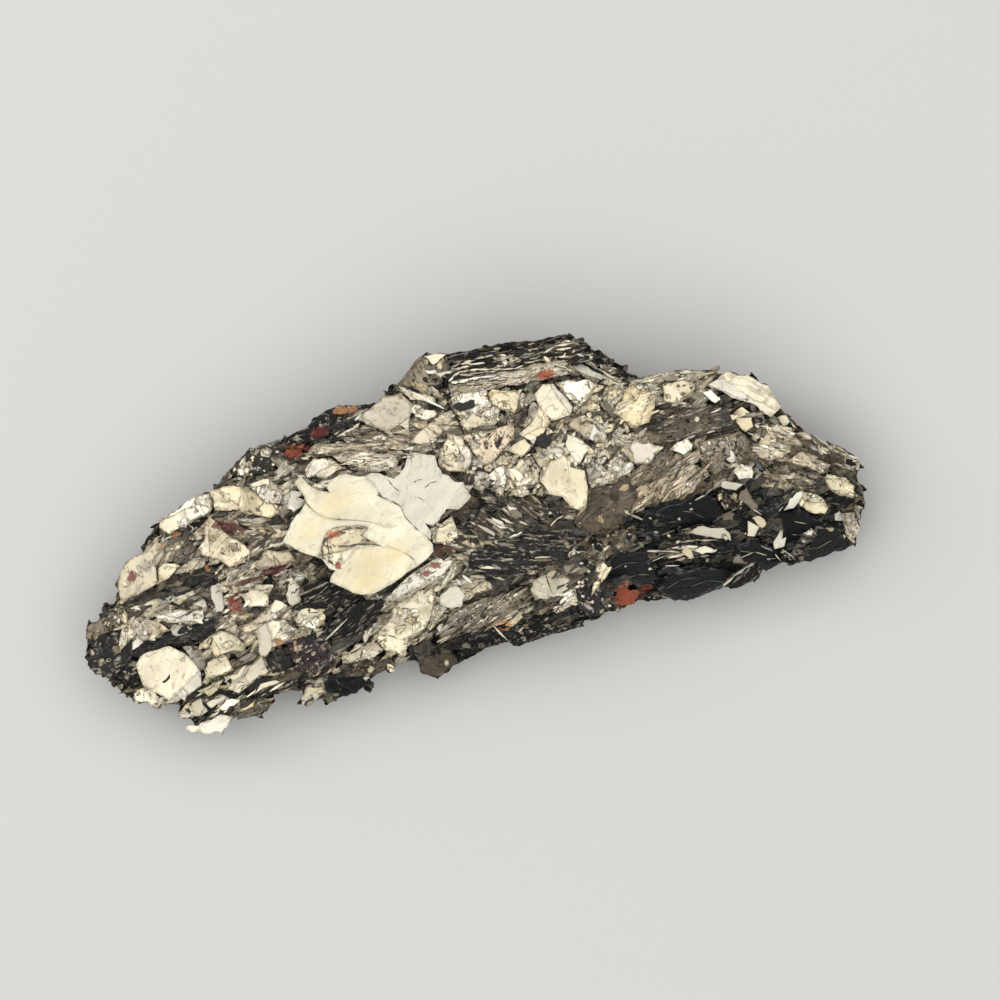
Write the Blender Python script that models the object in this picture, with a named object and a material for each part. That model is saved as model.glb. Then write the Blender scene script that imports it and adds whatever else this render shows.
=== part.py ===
"""Shungite specimen: one loose piece of black, foliated rock, lying on its flat cleavage underside.

The rock is a pile of ledges, each stepped in from the one below, with cleavage plates lying on top.
+X runs along the rock, +Z is up, and the origin is under the middle of its box. The tables below are
in millimetres on the rock's own plan; the model itself is in metres.
"""

import math
import random

import bmesh
import bpy
from mathutils import Matrix, Vector

MM = 0.001
SEED = 5

# The middle of the rock's box, on the plan.
PLAN_CENTRE = Vector((0.135, 1.511, 0.0))

# The rim seen from above, clockwise from the blunt west tip.
RIM = (
    (-40.1, -4.6), (-39.5, -2.4), (-39.2, -0.8), (-36.9, -0.3), (-35.2, 0.9), (-34.9, 2.7),
    (-33.8, 4.5), (-31.8, 5.2), (-29.8, 6.0), (-29.3, 7.6), (-26.6, 8.6), (-23.6, 9.5),
    (-21.3, 10.0), (-20.6, 11.8), (-18.8, 12.7), (-16.4, 12.6), (-13.2, 13.3), (-11.2, 14.3),
    (-9.4, 14.8), (-7.6, 13.8), (-5.2, 14.3), (-3.0, 14.9), (-1.6, 16.2), (0.3, 17.6),
    (2.4, 16.9), (7.8, 16.6), (11.2, 16.0), (15.0, 15.9), (16.5, 14.3), (17.4, 12.6),
    (18.6, 10.2), (21.0, 10.1), (25.4, 9.7), (28.3, 8.7), (30.2, 8.4), (32.3, 6.9),
    (33.6, 4.2), (34.6, 1.4), (36.4, -0.1), (38.8, -1.8), (40.1, -3.3), (39.6, -6.0),
    (38.6, -7.8), (38.6, -9.9), (37.4, -11.7), (34.0, -12.2), (27.6, -12.7), (21.0, -13.1),
    (16.6, -12.0), (12.6, -12.6), (9.2, -13.0), (3.0, -13.2), (-0.6, -12.6), (-3.2, -13.4),
    (-6.6, -14.6), (-8.4, -12.2), (-12.4, -13.3), (-15.8, -14.1), (-20.0, -13.9), (-25.0, -13.7),
    (-28.6, -14.2), (-31.0, -13.0), (-31.3, -11.0), (-34.0, -10.3), (-36.2, -9.4), (-38.0, -6.9),
    (-39.5, -6.0),
)

# The pile of ledges. The lowest ones stand in from the rim by these steps, so the rock narrows toward its
# foot. A ledge also stops where the crown comes down to its top.
LEDGE_COUNT = 13
LEDGE_RISE = 1.45
LEDGE_ROOT = 0.9        # how far each ledge reaches down into the next
FOOT_INSETS = (4.8, 3.6, 2.2, 1.1, 0.5)
REST_INSET = 0.25
LEDGE_TILT = 0.7        # degrees, the most that one ledge leans against the next
LEDGE_RAGGED = 0.5      # how far a ledge's edge wanders inward
LEDGE_DRAW = 0.93       # the most that a ledge's corner draws in, as a share of the way to the crest
LEDGE_STEP = 0.4
CROWN_COVER = 0.5       # how far a ledge's top stays below the plates
SPAN_COVER = 0.4        # how much deeper it stays at the two ends of its crest
SPAN_STEP = 0.5
CROWN_BLUR = 0.5        # how widely the crown is smoothed between the plates, square millimetres

# The crest of the rock from west to east, toward which the ledges draw in.
SPINE = (
    (-34.0, -2.0), (-22.0, 2.0), (-12.0, 3.4), (-2.0, 4.6), (7.0, 8.6), (13.0, 7.6), (21.0, 5.4),
    (33.0, 0.0),
)

# Thin slivers between the ledges, which make the flanks foliated.
SLIVER_COUNT = 46
SLIVER_SIZE = (2.2, 4.6)
SLIVER_THICK = (0.7, 1.3)
SLIVER_LEVELS = (1.4, 11.0)
SLIVER_LEAN = 9.0
SLIVER_SET_IN = 0.86    # how far a sliver's middle lies inside the rim, as a share of its size
SLIVER_LOW = 4.0        # below this level the slivers follow the narrower foot
SLIVER_LOW_STEP = 0.75  # how much further in each millimetre below that level
SLIVER_SIDES = (5, 7)
SLIVER_RAGGED = (0.72, 1.0)
SLIVER_TAPER = 0.96

PLATE_DEPTH = 2.4
PLATE_TAPER = 0.93      # a plate's root is this much smaller than its face
PLATE_RAGGED = 0.05

WELD = 0.0005           # corners closer than this are one corner

# Cleavage plates. Each row is the height of the plate's middle, its dip in degrees, the compass
# direction in which it runs downhill (0 is +X, 90 is +Y), and its outline.
WEST_END = (
    (8.0, 16, 200, ((-38.7, -2.6), (-36.4, -1.5), (-34.8, -2.4), (-35.3, -4.6), (-37.2, -6.2),
                    (-39.2, -5.6), (-39.9, -4.4))),
    (8.8, 14, 150, ((-39.4, -1.9), (-39.1, -0.7), (-37.0, -0.4), (-35.2, 0.8), (-34.6, -0.8),
                    (-36.6, -1.7), (-38.3, -2.3))),
    (6.8, 25, 215, ((-38.2, -6.5), (-36.4, -5.4), (-35.2, -6.0), (-35.4, -8.0), (-36.4, -8.6),
                    (-37.4, -7.5))),
    (10.6, 5, 200, ((-35.2, -5.7), (-34.6, -5.0), (-33.6, -4.7), (-31.5, -4.7), (-30.2, -5.7),
                    (-29.4, -6.9), (-29.0, -8.0), (-29.3, -9.3), (-31.2, -10.0), (-32.8, -9.9),
                    (-33.8, -9.0), (-35.0, -7.9))),
    (9.0, 16, 235, ((-36.3, -8.6), (-35.6, -8.0), (-34.5, -8.2), (-33.5, -9.2), (-31.2, -10.0),
                    (-32.8, -10.3), (-34.4, -10.5), (-35.2, -9.6), (-36.2, -9.4))),
    (9.6, 32, 0, ((-30.2, -5.2), (-28.6, -5.3), (-28.2, -6.6), (-28.6, -8.1), (-29.3, -9.0))),
    (11.9, 8, 300, ((-32.4, -1.4), (-31.2, -0.9), (-29.4, -1.3), (-27.5, -2.1), (-27.3, -2.8),
                    (-28.6, -3.1), (-30.2, -2.8), (-31.6, -2.2))),
    (11.2, 12, 230, ((-34.7, -1.8), (-33.6, -1.2), (-32.2, -1.8), (-30.9, -3.0), (-32.2, -3.5),
                     (-33.9, -3.4))),
    (12.0, 14, 130, ((-35.0, 0.8), (-35.0, 2.3), (-34.4, 3.7), (-33.5, 4.6), (-31.2, 5.2),
                     (-30.1, 5.8), (-29.6, 5.1), (-30.8, 4.3), (-31.0, 1.7), (-32.8, 1.2))),
    (12.1, 10, 330, ((-31.1, 1.6), (-30.5, 2.9), (-29.8, 3.5), (-28.4, 2.9), (-29.0, 2.3))),
    (13.2, 14, 110, ((-29.5, 7.0), (-29.3, 7.6), (-27.6, 8.3), (-25.0, 9.1), (-23.8, 9.2),
                     (-23.7, 8.1), (-24.3, 7.3), (-26.4, 6.9), (-28.6, 6.3))),
    (12.8, 10, 170, ((-27.1, 5.3), (-26.2, 5.9), (-25.0, 6.3), (-24.8, 5.4), (-26.6, 4.9))),
    (14.6, 8, 200, ((-25.0, 6.4), (-24.3, 6.9), (-23.8, 6.0), (-23.3, 5.0), (-21.9, 3.7),
                    (-21.2, 2.6), (-21.7, 1.6), (-23.6, 1.5), (-24.5, 2.5), (-26.1, 3.4),
                    (-26.2, 4.1), (-25.3, 4.9))),
    (12.6, 14, 285, ((-27.0, -4.7), (-26.0, -4.3), (-25.1, -4.9), (-24.0, -6.3), (-24.4, -6.9),
                     (-25.9, -6.5), (-27.3, -6.8), (-27.4, -5.8))),
    (11.4, 22, 270, ((-27.6, -7.1), (-26.5, -6.9), (-25.9, -8.3), (-27.0, -8.8), (-28.9, -9.0),
                     (-28.7, -7.8))),
)
SOUTH_SLATS = (
    (9.8, 28, 290, ((-26.9, -9.0), (-24.8, -8.5), (-22.9, -7.9), (-22.6, -9.3), (-24.4, -10.2),
                    (-25.7, -10.8), (-26.7, -10.2))),
    (9.2, 25, 285, ((-29.8, -9.9), (-27.4, -9.2), (-27.2, -10.0), (-28.8, -10.7))),
    (8.0, 24, 285, ((-29.4, -11.0), (-27.5, -10.5), (-25.4, -11.0), (-26.3, -12.1),
                    (-28.2, -12.0))),
    (8.2, 22, 290, ((-25.2, -11.4), (-22.0, -9.9), (-19.6, -10.6), (-20.4, -11.6),
                    (-24.2, -11.8))),
    (6.6, 15, 210, ((-32.5, -11.3), (-31.0, -10.9), (-29.6, -10.8), (-29.3, -11.7),
                    (-30.4, -12.2), (-32.1, -12.0))),
    (4.8, 12, 250, ((-32.1, -12.8), (-30.6, -12.9), (-28.3, -12.8), (-27.1, -13.1),
                    (-28.6, -14.5), (-30.4, -13.8), (-32.0, -13.3))),
    (5.0, 22, 265, ((-26.8, -12.9), (-24.4, -12.6), (-21.4, -12.3), (-20.6, -13.4),
                    (-25.0, -13.6), (-26.8, -13.7))),
    (5.6, 22, 280, ((-20.2, -12.9), (-18.4, -11.6), (-17.2, -11.4), (-17.4, -12.5),
                    (-18.6, -13.5), (-20.0, -13.8))),
    (6.4, 34, 265, ((-17.4, -12.2), (-16.6, -11.3), (-15.0, -11.8), (-13.4, -12.2),
                    (-12.6, -13.2), (-15.6, -13.9), (-17.4, -13.3))),
    (8.0, 30, 275, ((-15.4, -10.8), (-13.0, -10.6), (-10.2, -11.0), (-10.2, -12.2),
                    (-13.2, -12.4), (-15.2, -11.9))),
    (10.9, 16, 265, ((-22.4, -8.2), (-21.3, -7.8), (-20.1, -7.6), (-19.8, -8.6), (-20.2, -9.6),
                     (-22.1, -9.8))),
    (11.0, 16, 290, ((-20.0, -7.4), (-17.4, -6.9), (-15.6, -8.2), (-16.0, -9.9), (-17.8, -10.7),
                     (-19.8, -10.2))),
    (13.0, 20, 250, ((-22.9, -5.4), (-21.4, -4.8), (-19.6, -4.8), (-18.6, -6.2), (-20.4, -7.2),
                     (-22.6, -7.7))),
    (14.2, 10, 280, ((-18.6, -5.0), (-17.2, -4.2), (-15.6, -4.8), (-15.7, -6.2), (-16.6, -6.5),
                     (-18.3, -5.8))),
    (13.6, 22, 292, ((-15.6, -6.4), (-13.0, -5.2), (-11.0, -5.0), (-9.6, -5.6), (-11.0, -7.3),
                     (-13.2, -8.0), (-15.4, -7.8))),
)
WEST_MIDDLE = (
    (15.0, 12, 250, ((-23.1, -1.5), (-21.2, -0.9), (-19.9, -1.0), (-20.9, -3.0), (-22.8, -2.8))),
    (14.8, 22, 350, ((-18.9, -2.4), (-18.0, -1.0), (-17.2, -2.0), (-17.5, -3.6), (-18.6, -3.9))),
    (13.9, 14, 275, ((-24.3, -4.5), (-22.4, -4.2), (-20.2, -3.0), (-18.6, -4.0), (-21.4, -4.7),
                     (-23.6, -5.3))),
    (14.6, 25, 285, ((-16.9, -2.1), (-15.0, -1.8), (-13.0, -3.3), (-11.4, -4.9), (-15.0, -5.0),
                     (-17.5, -4.0))),
    (15.6, 10, 150, ((-23.6, 9.3), (-21.4, 9.3), (-20.0, 8.8), (-18.6, 7.2), (-17.0, 6.0),
                     (-18.4, 5.3), (-20.2, 6.1), (-22.0, 6.9), (-23.6, 7.4))),
    (16.3, 12, 60, ((-19.8, 8.8), (-17.6, 9.0), (-16.6, 7.6), (-17.2, 6.4), (-18.8, 7.0))),
    (17.4, 12, 180, ((-16.6, 6.0), (-15.7, 7.3), (-14.7, 7.1), (-14.6, 5.9), (-16.0, 5.4))),
    (15.4, 10, 190, ((-21.0, 1.2), (-19.6, 2.2), (-17.4, 1.7), (-17.0, 0.6), (-20.8, 0.5))),
    (13.6, 20, 110, ((-21.2, 10.4), (-20.4, 11.7), (-18.8, 12.5), (-16.2, 12.4), (-15.8, 10.9),
                     (-17.4, 9.8), (-19.8, 9.9))),
    (13.4, 30, 100, ((-15.4, 12.5), (-13.0, 13.1), (-10.6, 14.3), (-9.2, 14.6), (-7.8, 13.6),
                     (-9.4, 12.2), (-12.6, 11.7), (-15.0, 11.6))),
)
GREAT_PLATE = (
    (19.3, 3, 200, ((-17.8, 2.6), (-16.6, 4.2), (-14.7, 5.8), (-15.2, 8.0), (-14.3, 8.7),
                    (-12.4, 7.0), (-10.3, 7.8), (-8.0, 6.9), (-6.6, 5.6), (-5.4, 3.1),
                    (-4.9, 1.2), (-3.4, -1.4), (-3.8, -2.1), (-5.4, -2.7), (-8.9, -4.1),
                    (-10.7, -4.5), (-12.7, -3.7), (-14.3, -2.2), (-13.4, 0.2), (-15.0, 0.3))),
    (20.0, 4, 30, ((-14.6, 6.0), (-14.3, 7.0), (-12.2, 6.9), (-10.3, 7.6), (-8.0, 6.7),
                   (-6.8, 5.4), (-7.7, 4.8), (-6.4, 4.0), (-5.6, 2.4), (-8.2, 2.4), (-11.2, 3.3),
                   (-13.2, 4.2))),
    (19.6, 5, 255, ((-13.4, -1.5), (-12.2, -0.2), (-11.0, 0.8), (-8.5, 0.3), (-6.2, 1.4),
                    (-4.9, 1.0), (-3.5, -1.4), (-3.9, -2.0), (-5.4, -2.6), (-8.8, -4.0),
                    (-10.7, -4.4), (-12.6, -3.6))),
    (20.2, 4, 300, ((-6.9, 5.7), (-5.2, 6.7), (-4.0, 8.0), (-3.0, 8.0), (-1.2, 7.0), (-1.0, 6.0),
                    (0.9, 4.6), (1.5, 2.9), (-0.4, 1.7), (-2.2, 1.1), (-3.2, 0.7), (-4.4, 0.5),
                    (-5.3, 2.1), (-5.6, 3.2), (-7.6, 4.9))),
    (17.9, 18, 300, ((-3.5, 0.5), (-1.0, 1.0), (-0.6, -0.6), (-1.8, -1.5), (-3.3, -0.9))),
    (17.0, 35, 300, ((-0.6, 1.6), (0.6, 2.1), (2.0, 2.2), (1.6, 1.2), (0.9, 0.3), (-0.5, 0.3))),
    (18.4, 14, 110, ((-13.9, 9.0), (-12.9, 9.9), (-11.2, 9.5), (-10.0, 8.3), (-12.2, 7.9),
                     (-13.8, 8.4))),
    (18.9, 12, 60, ((-10.9, 9.7), (-9.6, 9.9), (-6.6, 9.0), (-4.4, 8.2), (-5.0, 7.1),
                    (-7.2, 7.1), (-9.6, 8.5))),
    (17.6, 24, 70, ((-13.6, 10.4), (-12.5, 11.2), (-8.6, 10.4), (-5.0, 9.5), (-4.4, 8.8),
                    (-8.4, 9.7), (-11.4, 9.9))),
    (18.0, 14, 100, ((-7.5, 12.6), (-5.8, 13.8), (-4.8, 14.2), (-3.0, 14.0), (-1.9, 12.8),
                     (-2.7, 11.5), (-3.2, 10.0), (-4.4, 10.3), (-6.6, 11.8))),
    (18.6, 16, 60, ((-2.4, 12.0), (-1.8, 12.8), (-0.2, 11.7), (0.4, 11.1), (-1.4, 11.1))),
    (19.8, 8, 80, ((-3.3, 9.3), (-1.8, 10.2), (-0.4, 10.6), (0.4, 9.6), (-1.2, 8.4))),
    (18.2, 30, 55, ((-2.9, 14.9), (-1.6, 14.1), (0.4, 12.9), (0.2, 12.3), (-1.2, 12.9),
                    (-2.7, 14.1))),
    (16.2, 20, 110, ((-2.8, 15.1), (-1.5, 16.2), (0.3, 17.5), (2.3, 16.8), (2.4, 15.4),
                     (1.0, 14.0), (-1.2, 14.4))),
)
KNOB = (
    (14.2, 35, 90, ((2.2, 16.8), (7.8, 16.5), (11.2, 15.9), (14.9, 15.9), (15.2, 15.2),
                    (9.0, 15.2), (3.0, 15.7))),
    (16.2, 36, 88, ((1.6, 15.6), (6.0, 15.7), (15.2, 15.2), (16.3, 14.5), (15.4, 13.9),
                    (9.0, 14.4), (2.4, 14.7))),
    (18.4, 38, 88, ((1.8, 14.9), (8.0, 14.6), (14.8, 14.4), (17.3, 12.8), (14.6, 12.7),
                    (8.0, 13.5), (2.2, 13.7))),
    (20.3, 32, 88, ((2.0, 13.9), (8.0, 13.7), (13.6, 13.5), (14.4, 12.0), (8.0, 12.3),
                    (2.4, 12.6))),
    (17.8, 34, 45, ((13.4, 13.7), (14.6, 13.8), (16.6, 11.9), (18.5, 10.2), (17.4, 9.9),
                    (15.2, 11.4))),
    (21.1, 6, 150, ((2.0, 12.6), (3.8, 12.7), (5.4, 12.2), (5.4, 11.0), (6.2, 10.2), (6.0, 9.1),
                    (4.6, 8.9), (2.4, 9.4), (2.0, 11.0))),
    (21.6, 6, 80, ((5.2, 12.0), (6.6, 12.2), (8.4, 11.6), (10.0, 11.4), (9.8, 10.0), (7.6, 9.5),
                   (6.4, 10.6))),
    (21.6, 5, 20, ((10.1, 10.2), (10.8, 11.4), (12.1, 11.6), (12.5, 10.4), (13.9, 8.3),
                   (12.2, 7.8), (10.4, 8.4))),
    (20.6, 16, 30, ((12.4, 11.4), (15.0, 11.1), (16.9, 10.0), (15.6, 9.4), (14.0, 8.6),
                    (12.9, 10.0))),
    (21.0, 8, 235, ((7.4, 7.4), (9.2, 8.9), (9.9, 9.3), (11.2, 8.0), (10.8, 6.4), (9.0, 5.6),
                    (8.6, 6.6))),
    (20.4, 9, 250, ((5.9, 6.1), (7.4, 6.6), (8.6, 5.8), (8.4, 5.0), (6.6, 5.2))),
    (20.2, 12, 190, ((2.4, 8.6), (4.4, 8.6), (7.2, 8.4), (6.8, 7.0), (5.2, 5.8), (3.4, 5.3),
                     (2.5, 7.0))),
    (19.8, 10, 220, ((-0.9, 7.0), (0.9, 9.0), (1.9, 8.6), (2.4, 6.0), (1.4, 5.1), (-0.8, 5.8))),
)
MIDDLE = (
    (19.8, 10, 285, ((8.4, 2.3), (9.8, 4.1), (11.4, 4.2), (13.0, 2.2), (13.0, 0.2), (12.1, -1.8),
                     (10.5, -0.8), (8.9, 0.7))),
    (20.4, 8, 300, ((11.8, 5.0), (12.6, 6.1), (14.2, 4.9), (14.0, 3.6), (12.7, 2.9))),
    (19.9, 8, 320, ((12.4, 7.2), (14.8, 7.8), (16.6, 6.4), (15.6, 4.6), (13.8, 5.3))),
    (18.6, 18, 215, ((3.2, 3.0), (3.8, 4.2), (5.3, 4.9), (5.3, 3.4), (4.4, 1.8))),
    (19.2, 14, 260, ((5.6, 3.8), (7.2, 5.0), (8.0, 3.6), (7.9, 2.6), (6.2, 2.4))),
    (17.0, 26, 285, ((0.5, 0.8), (2.6, 1.3), (5.4, 1.6), (8.6, 0.6), (8.2, -1.4), (5.4, -2.2),
                     (1.4, -1.9))),
    (14.4, 14, 280, ((0.2, -2.4), (4.0, -2.6), (8.2, -2.2), (10.6, -3.0), (9.6, -5.6),
                     (5.0, -6.2), (1.0, -5.6), (-0.5, -4.2))),
    (15.4, 24, 285, ((-9.4, -5.4), (-7.2, -4.0), (-4.9, -3.4), (-2.4, -2.8), (-2.9, -4.0),
                     (-5.4, -5.1), (-7.4, -6.0))),
    (12.2, 30, 290, ((-11.3, -8.7), (-9.2, -7.3), (-8.6, -6.1), (-4.5, -5.0), (-4.4, -6.4),
                     (-6.3, -9.2), (-8.2, -9.8), (-8.6, -11.2), (-10.6, -10.3))),
    (10.4, 22, 280, ((-15.1, -9.9), (-13.2, -9.0), (-11.3, -9.4), (-10.7, -10.3), (-13.0, -10.8),
                     (-15.0, -10.5))),
    (12.6, 20, 285, ((-4.2, -6.6), (-2.6, -5.3), (0.4, -5.2), (1.2, -6.6), (-1.8, -7.4),
                     (-3.2, -8.0))),
    (9.6, 32, 272, ((-5.2, -8.8), (-2.6, -7.9), (1.0, -7.8), (4.6, -7.4), (4.8, -9.2),
                    (3.0, -10.4), (-1.0, -10.4), (-4.8, -10.8))),
    (5.8, 34, 262, ((-7.9, -10.6), (-6.6, -10.4), (-4.4, -12.0), (-4.0, -13.3), (-6.5, -14.4),
                    (-7.7, -13.2))),
    (6.6, 38, 268, ((-2.8, -10.7), (0.4, -10.7), (1.2, -12.4), (-0.6, -12.5), (-2.8, -12.8))),
    (6.2, 40, 272, ((1.6, -11.4), (3.6, -10.8), (6.6, -10.6), (8.9, -10.8), (9.2, -12.8),
                    (5.0, -12.9), (1.8, -13.0))),
    (10.8, 26, 290, ((5.0, -8.2), (6.6, -6.9), (7.9, -7.4), (9.0, -8.4), (7.4, -9.5),
                     (5.7, -9.6))),
)
EAST_CROWN = (
    (17.0, 22, 265, ((12.4, 0.2), (17.0, 0.4), (17.4, -1.6), (15.6, -3.6), (12.4, -4.2),
                     (10.8, -2.6))),
    (16.9, 14, 275, ((15.8, -2.0), (17.6, -0.7), (20.6, -0.2), (23.4, 0.3), (25.0, -0.8),
                     (22.8, -2.3), (18.0, -2.6))),
    (18.2, 12, 230, ((16.8, 3.4), (18.6, 4.1), (21.1, 2.6), (19.4, 1.5), (17.6, 2.0))),
    (18.3, 8, 60, ((17.2, 7.2), (18.6, 9.0), (19.7, 9.6), (21.8, 7.5), (20.4, 5.5), (18.6, 5.4))),
    (17.0, 12, 70, ((22.3, 7.2), (22.6, 8.8), (24.8, 8.6), (26.0, 8.0), (25.0, 6.9),
                    (23.4, 6.5))),
    (15.2, 30, 85, ((18.8, 9.8), (20.8, 10.0), (25.2, 9.6), (28.2, 8.6), (26.2, 8.2),
                    (22.6, 8.9), (20.4, 8.9))),
    (16.0, 14, 60, ((26.2, 7.1), (27.2, 7.2), (28.0, 6.0), (27.2, 5.6))),
    (14.4, 18, 40, ((27.0, 7.7), (29.4, 8.4), (31.0, 7.5), (32.8, 6.0), (33.6, 3.7),
                    (32.4, 2.9), (30.4, 5.0), (28.8, 5.9))),
    (15.4, 16, 260, ((28.7, 4.2), (29.6, 4.7), (30.5, 4.0), (31.4, 2.6), (29.9, 2.1),
                     (29.1, 2.9))),
    (16.4, 8, 265, ((19.8, 5.0), (24.6, 5.8), (28.4, 4.9), (28.4, 3.2), (24.6, 2.8),
                    (20.8, 3.2))),
    (17.3, 10, 270, ((21.8, 2.2), (22.6, 2.8), (23.9, 2.7), (24.2, 1.6), (22.8, 0.9))),
    (15.4, 14, 285, ((24.6, 2.2), (28.8, 2.4), (29.6, 1.0), (28.8, -0.9), (25.4, -1.2),
                     (24.4, 0.4))),
    (14.6, 14, 290, ((27.4, -1.6), (28.2, -0.8), (29.2, -1.3), (28.9, -2.3), (27.8, -2.4))),
    (13.2, 14, 330, ((30.2, 2.2), (32.4, 2.2), (34.3, 1.3), (33.4, -0.9), (31.0, -1.3),
                     (29.8, 0.3))),
)
EAST_FLANK = (
    (13.6, 42, 275, ((17.8, -3.0), (19.4, -2.6), (24.4, -3.2), (25.4, -4.8), (24.4, -5.6),
                     (19.8, -5.2), (18.2, -4.6))),
    (13.4, 36, 300, ((25.3, -2.8), (27.0, -2.6), (28.4, -3.4), (28.8, -5.0), (26.8, -5.1),
                     (25.6, -4.6))),
    (10.8, 46, 268, ((12.8, -7.2), (14.4, -6.6), (17.0, -7.2), (17.3, -9.8), (15.8, -10.4),
                     (13.2, -9.0))),
    (12.0, 30, 280, ((20.6, -5.8), (22.6, -5.6), (25.0, -6.4), (25.6, -7.6), (24.0, -7.4),
                     (21.4, -6.7))),
    (10.4, 30, 280, ((17.4, -7.1), (20.6, -7.2), (24.2, -8.0), (24.0, -8.8), (21.0, -8.9),
                     (18.6, -8.0))),
    (11.4, 28, 250, ((26.9, -7.8), (27.8, -6.6), (29.5, -6.8), (29.0, -7.7), (27.7, -8.3))),
    (7.4, 44, 268, ((17.4, -10.8), (18.6, -9.9), (22.4, -10.1), (25.0, -11.0), (23.8, -12.3),
                    (20.0, -12.8), (17.8, -12.0))),
    (7.4, 34, 300, ((23.8, -12.4), (24.8, -11.5), (27.4, -10.6), (28.4, -11.2), (27.4, -12.4),
                    (25.0, -12.6))),
    (9.2, 42, 262, ((25.8, -8.8), (27.2, -8.4), (29.6, -9.8), (30.4, -11.2), (28.4, -11.8),
                    (26.4, -10.2))),
    (8.8, 44, 280, ((31.0, -6.9), (33.0, -6.7), (34.3, -8.0), (36.4, -9.6), (37.0, -11.4),
                    (34.6, -11.9), (30.6, -11.8), (30.4, -9.8))),
    (6.6, 34, 330, ((37.1, -8.3), (38.2, -8.1), (38.5, -9.8), (37.4, -11.4), (36.9, -10.2))),
    (11.0, 22, 290, ((31.6, -6.0), (33.2, -5.1), (35.6, -6.2), (35.9, -7.2), (34.0, -7.4),
                     (32.6, -6.6))),
    (9.8, 26, 320, ((36.0, -4.0), (37.2, -4.2), (39.3, -5.8), (38.8, -6.8), (37.0, -6.0))),
    (11.8, 18, 315, ((32.8, -1.6), (34.6, -1.2), (37.0, -3.0), (36.4, -3.8), (34.0, -2.6))),
    (9.6, 24, 330, ((36.0, -0.2), (38.8, -2.0), (40.0, -3.4), (39.7, -4.4), (37.2, -3.1),
                    (36.0, -1.4))),
    (9.0, 34, 270, ((9.4, -9.0), (11.8, -8.9), (12.2, -11.9), (10.0, -12.0), (9.2, -10.6))),
    (8.4, 34, 275, ((12.2, -9.4), (13.4, -9.4), (15.4, -10.9), (14.6, -11.8), (12.8, -11.6))),
    (13.2, 30, 270, ((10.6, -5.8), (12.8, -4.6), (15.6, -4.4), (16.6, -5.4), (14.6, -6.4),
                     (11.6, -6.9))),
)
PLATES = WEST_END + SOUTH_SLATS + WEST_MIDDLE + GREAT_PLATE + KNOB + MIDDLE + EAST_CROWN + EAST_FLANK


def clear_scene():
    for obj in list(bpy.data.objects):
        bpy.data.objects.remove(obj, do_unlink=True)


def make_collection(name):
    found = bpy.data.collections.new(name)
    bpy.context.scene.collection.children.link(found)
    return found


def middle_of(points):
    """The mean corner of an outline, on the plan."""
    return Vector((sum(p[0] for p in points), sum(p[1] for p in points))) / len(points)


def crown_marks():
    return [(middle_of(points), height) for height, _, _, points in PLATES]


def crown(place, marks):
    """The height of the rock's top at a place on the plan, smoothed between the plates."""
    total, weights = 0.0, 0.0
    for mark, height in marks:
        weight = 1.0 / ((place - mark).length_squared + CROWN_BLUR) ** 2
        total += weight * height
        weights += weight
    return total / weights


def spine_at(x):
    """The point of the crest line at this x."""
    x = min(max(x, SPINE[0][0]), SPINE[-1][0])
    for (x0, y0), (x1, y1) in zip(SPINE, SPINE[1:]):
        if x <= x1:
            return Vector((x, y0 + (y1 - y0) * (x - x0) / (x1 - x0)))


def spine_span(top, marks):
    """How far west and east the crest stays high enough to cover a ledge of this height."""
    west, east = SPINE[0][0], SPINE[-1][0]
    while crown(spine_at(west), marks) < top + CROWN_COVER + SPAN_COVER:
        west += SPAN_STEP
    while crown(spine_at(east), marks) < top + CROWN_COVER + SPAN_COVER:
        east -= SPAN_STEP
    return west, east


def ledge_outline(number, inset, top, marks, chance):
    """Every second corner of the rim drawn in by `inset`, then further until the crown covers the ledge."""
    west, east = spine_span(top, marks)
    outline = []
    for corner in RIM[number % 2::2]:
        place = Vector(corner)
        inward = spine_at(min(max(place.x, west), east)) - place
        reach = inward.length
        furthest = LEDGE_DRAW * reach
        step = min(inset + chance.uniform(0.0, LEDGE_RAGGED), furthest)
        while step < furthest and crown(place + inward * (step / reach), marks) < top + CROWN_COVER:
            step += LEDGE_STEP
        outline.append(place + inward * (step / reach))
    return outline


def prism(name, corners, sink, taper, collection):
    """A closed solid: the flat face through `corners`, and its copy sunk below it, drawn in by `taper`."""
    bm = bmesh.new()
    face = bm.faces.new([bm.verts.new(corner * MM) for corner in corners])
    grown = bmesh.ops.extrude_face_region(bm, geom=[face])["geom"]
    root = [part for part in grown if isinstance(part, bmesh.types.BMVert)]
    middle = sum((vert.co for vert in root), Vector()) / len(root)
    bmesh.ops.scale(bm, vec=(taper, taper, 1.0), verts=root, space=Matrix.Translation(-middle))
    bmesh.ops.translate(bm, vec=(0.0, 0.0, -sink * MM), verts=root)
    bmesh.ops.recalc_face_normals(bm, faces=bm.faces)
    mesh = bpy.data.meshes.new(name)
    bm.to_mesh(mesh)
    bm.free()
    obj = bpy.data.objects.new(name, mesh)
    collection.objects.link(obj)
    return obj


def on_plane(points, height, dip, downhill):
    """The outline's corners on a plane that passes `height` at its middle and falls toward `downhill`."""
    middle = middle_of(points)
    fall = math.tan(math.radians(dip))
    run = Vector((math.cos(math.radians(downhill)), math.sin(math.radians(downhill))))
    corners = []
    for point in points:
        place = Vector(point)
        corners.append(place.to_3d() + Vector((0.0, 0.0, height - fall * run.dot(place - middle))))
    return corners


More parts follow.
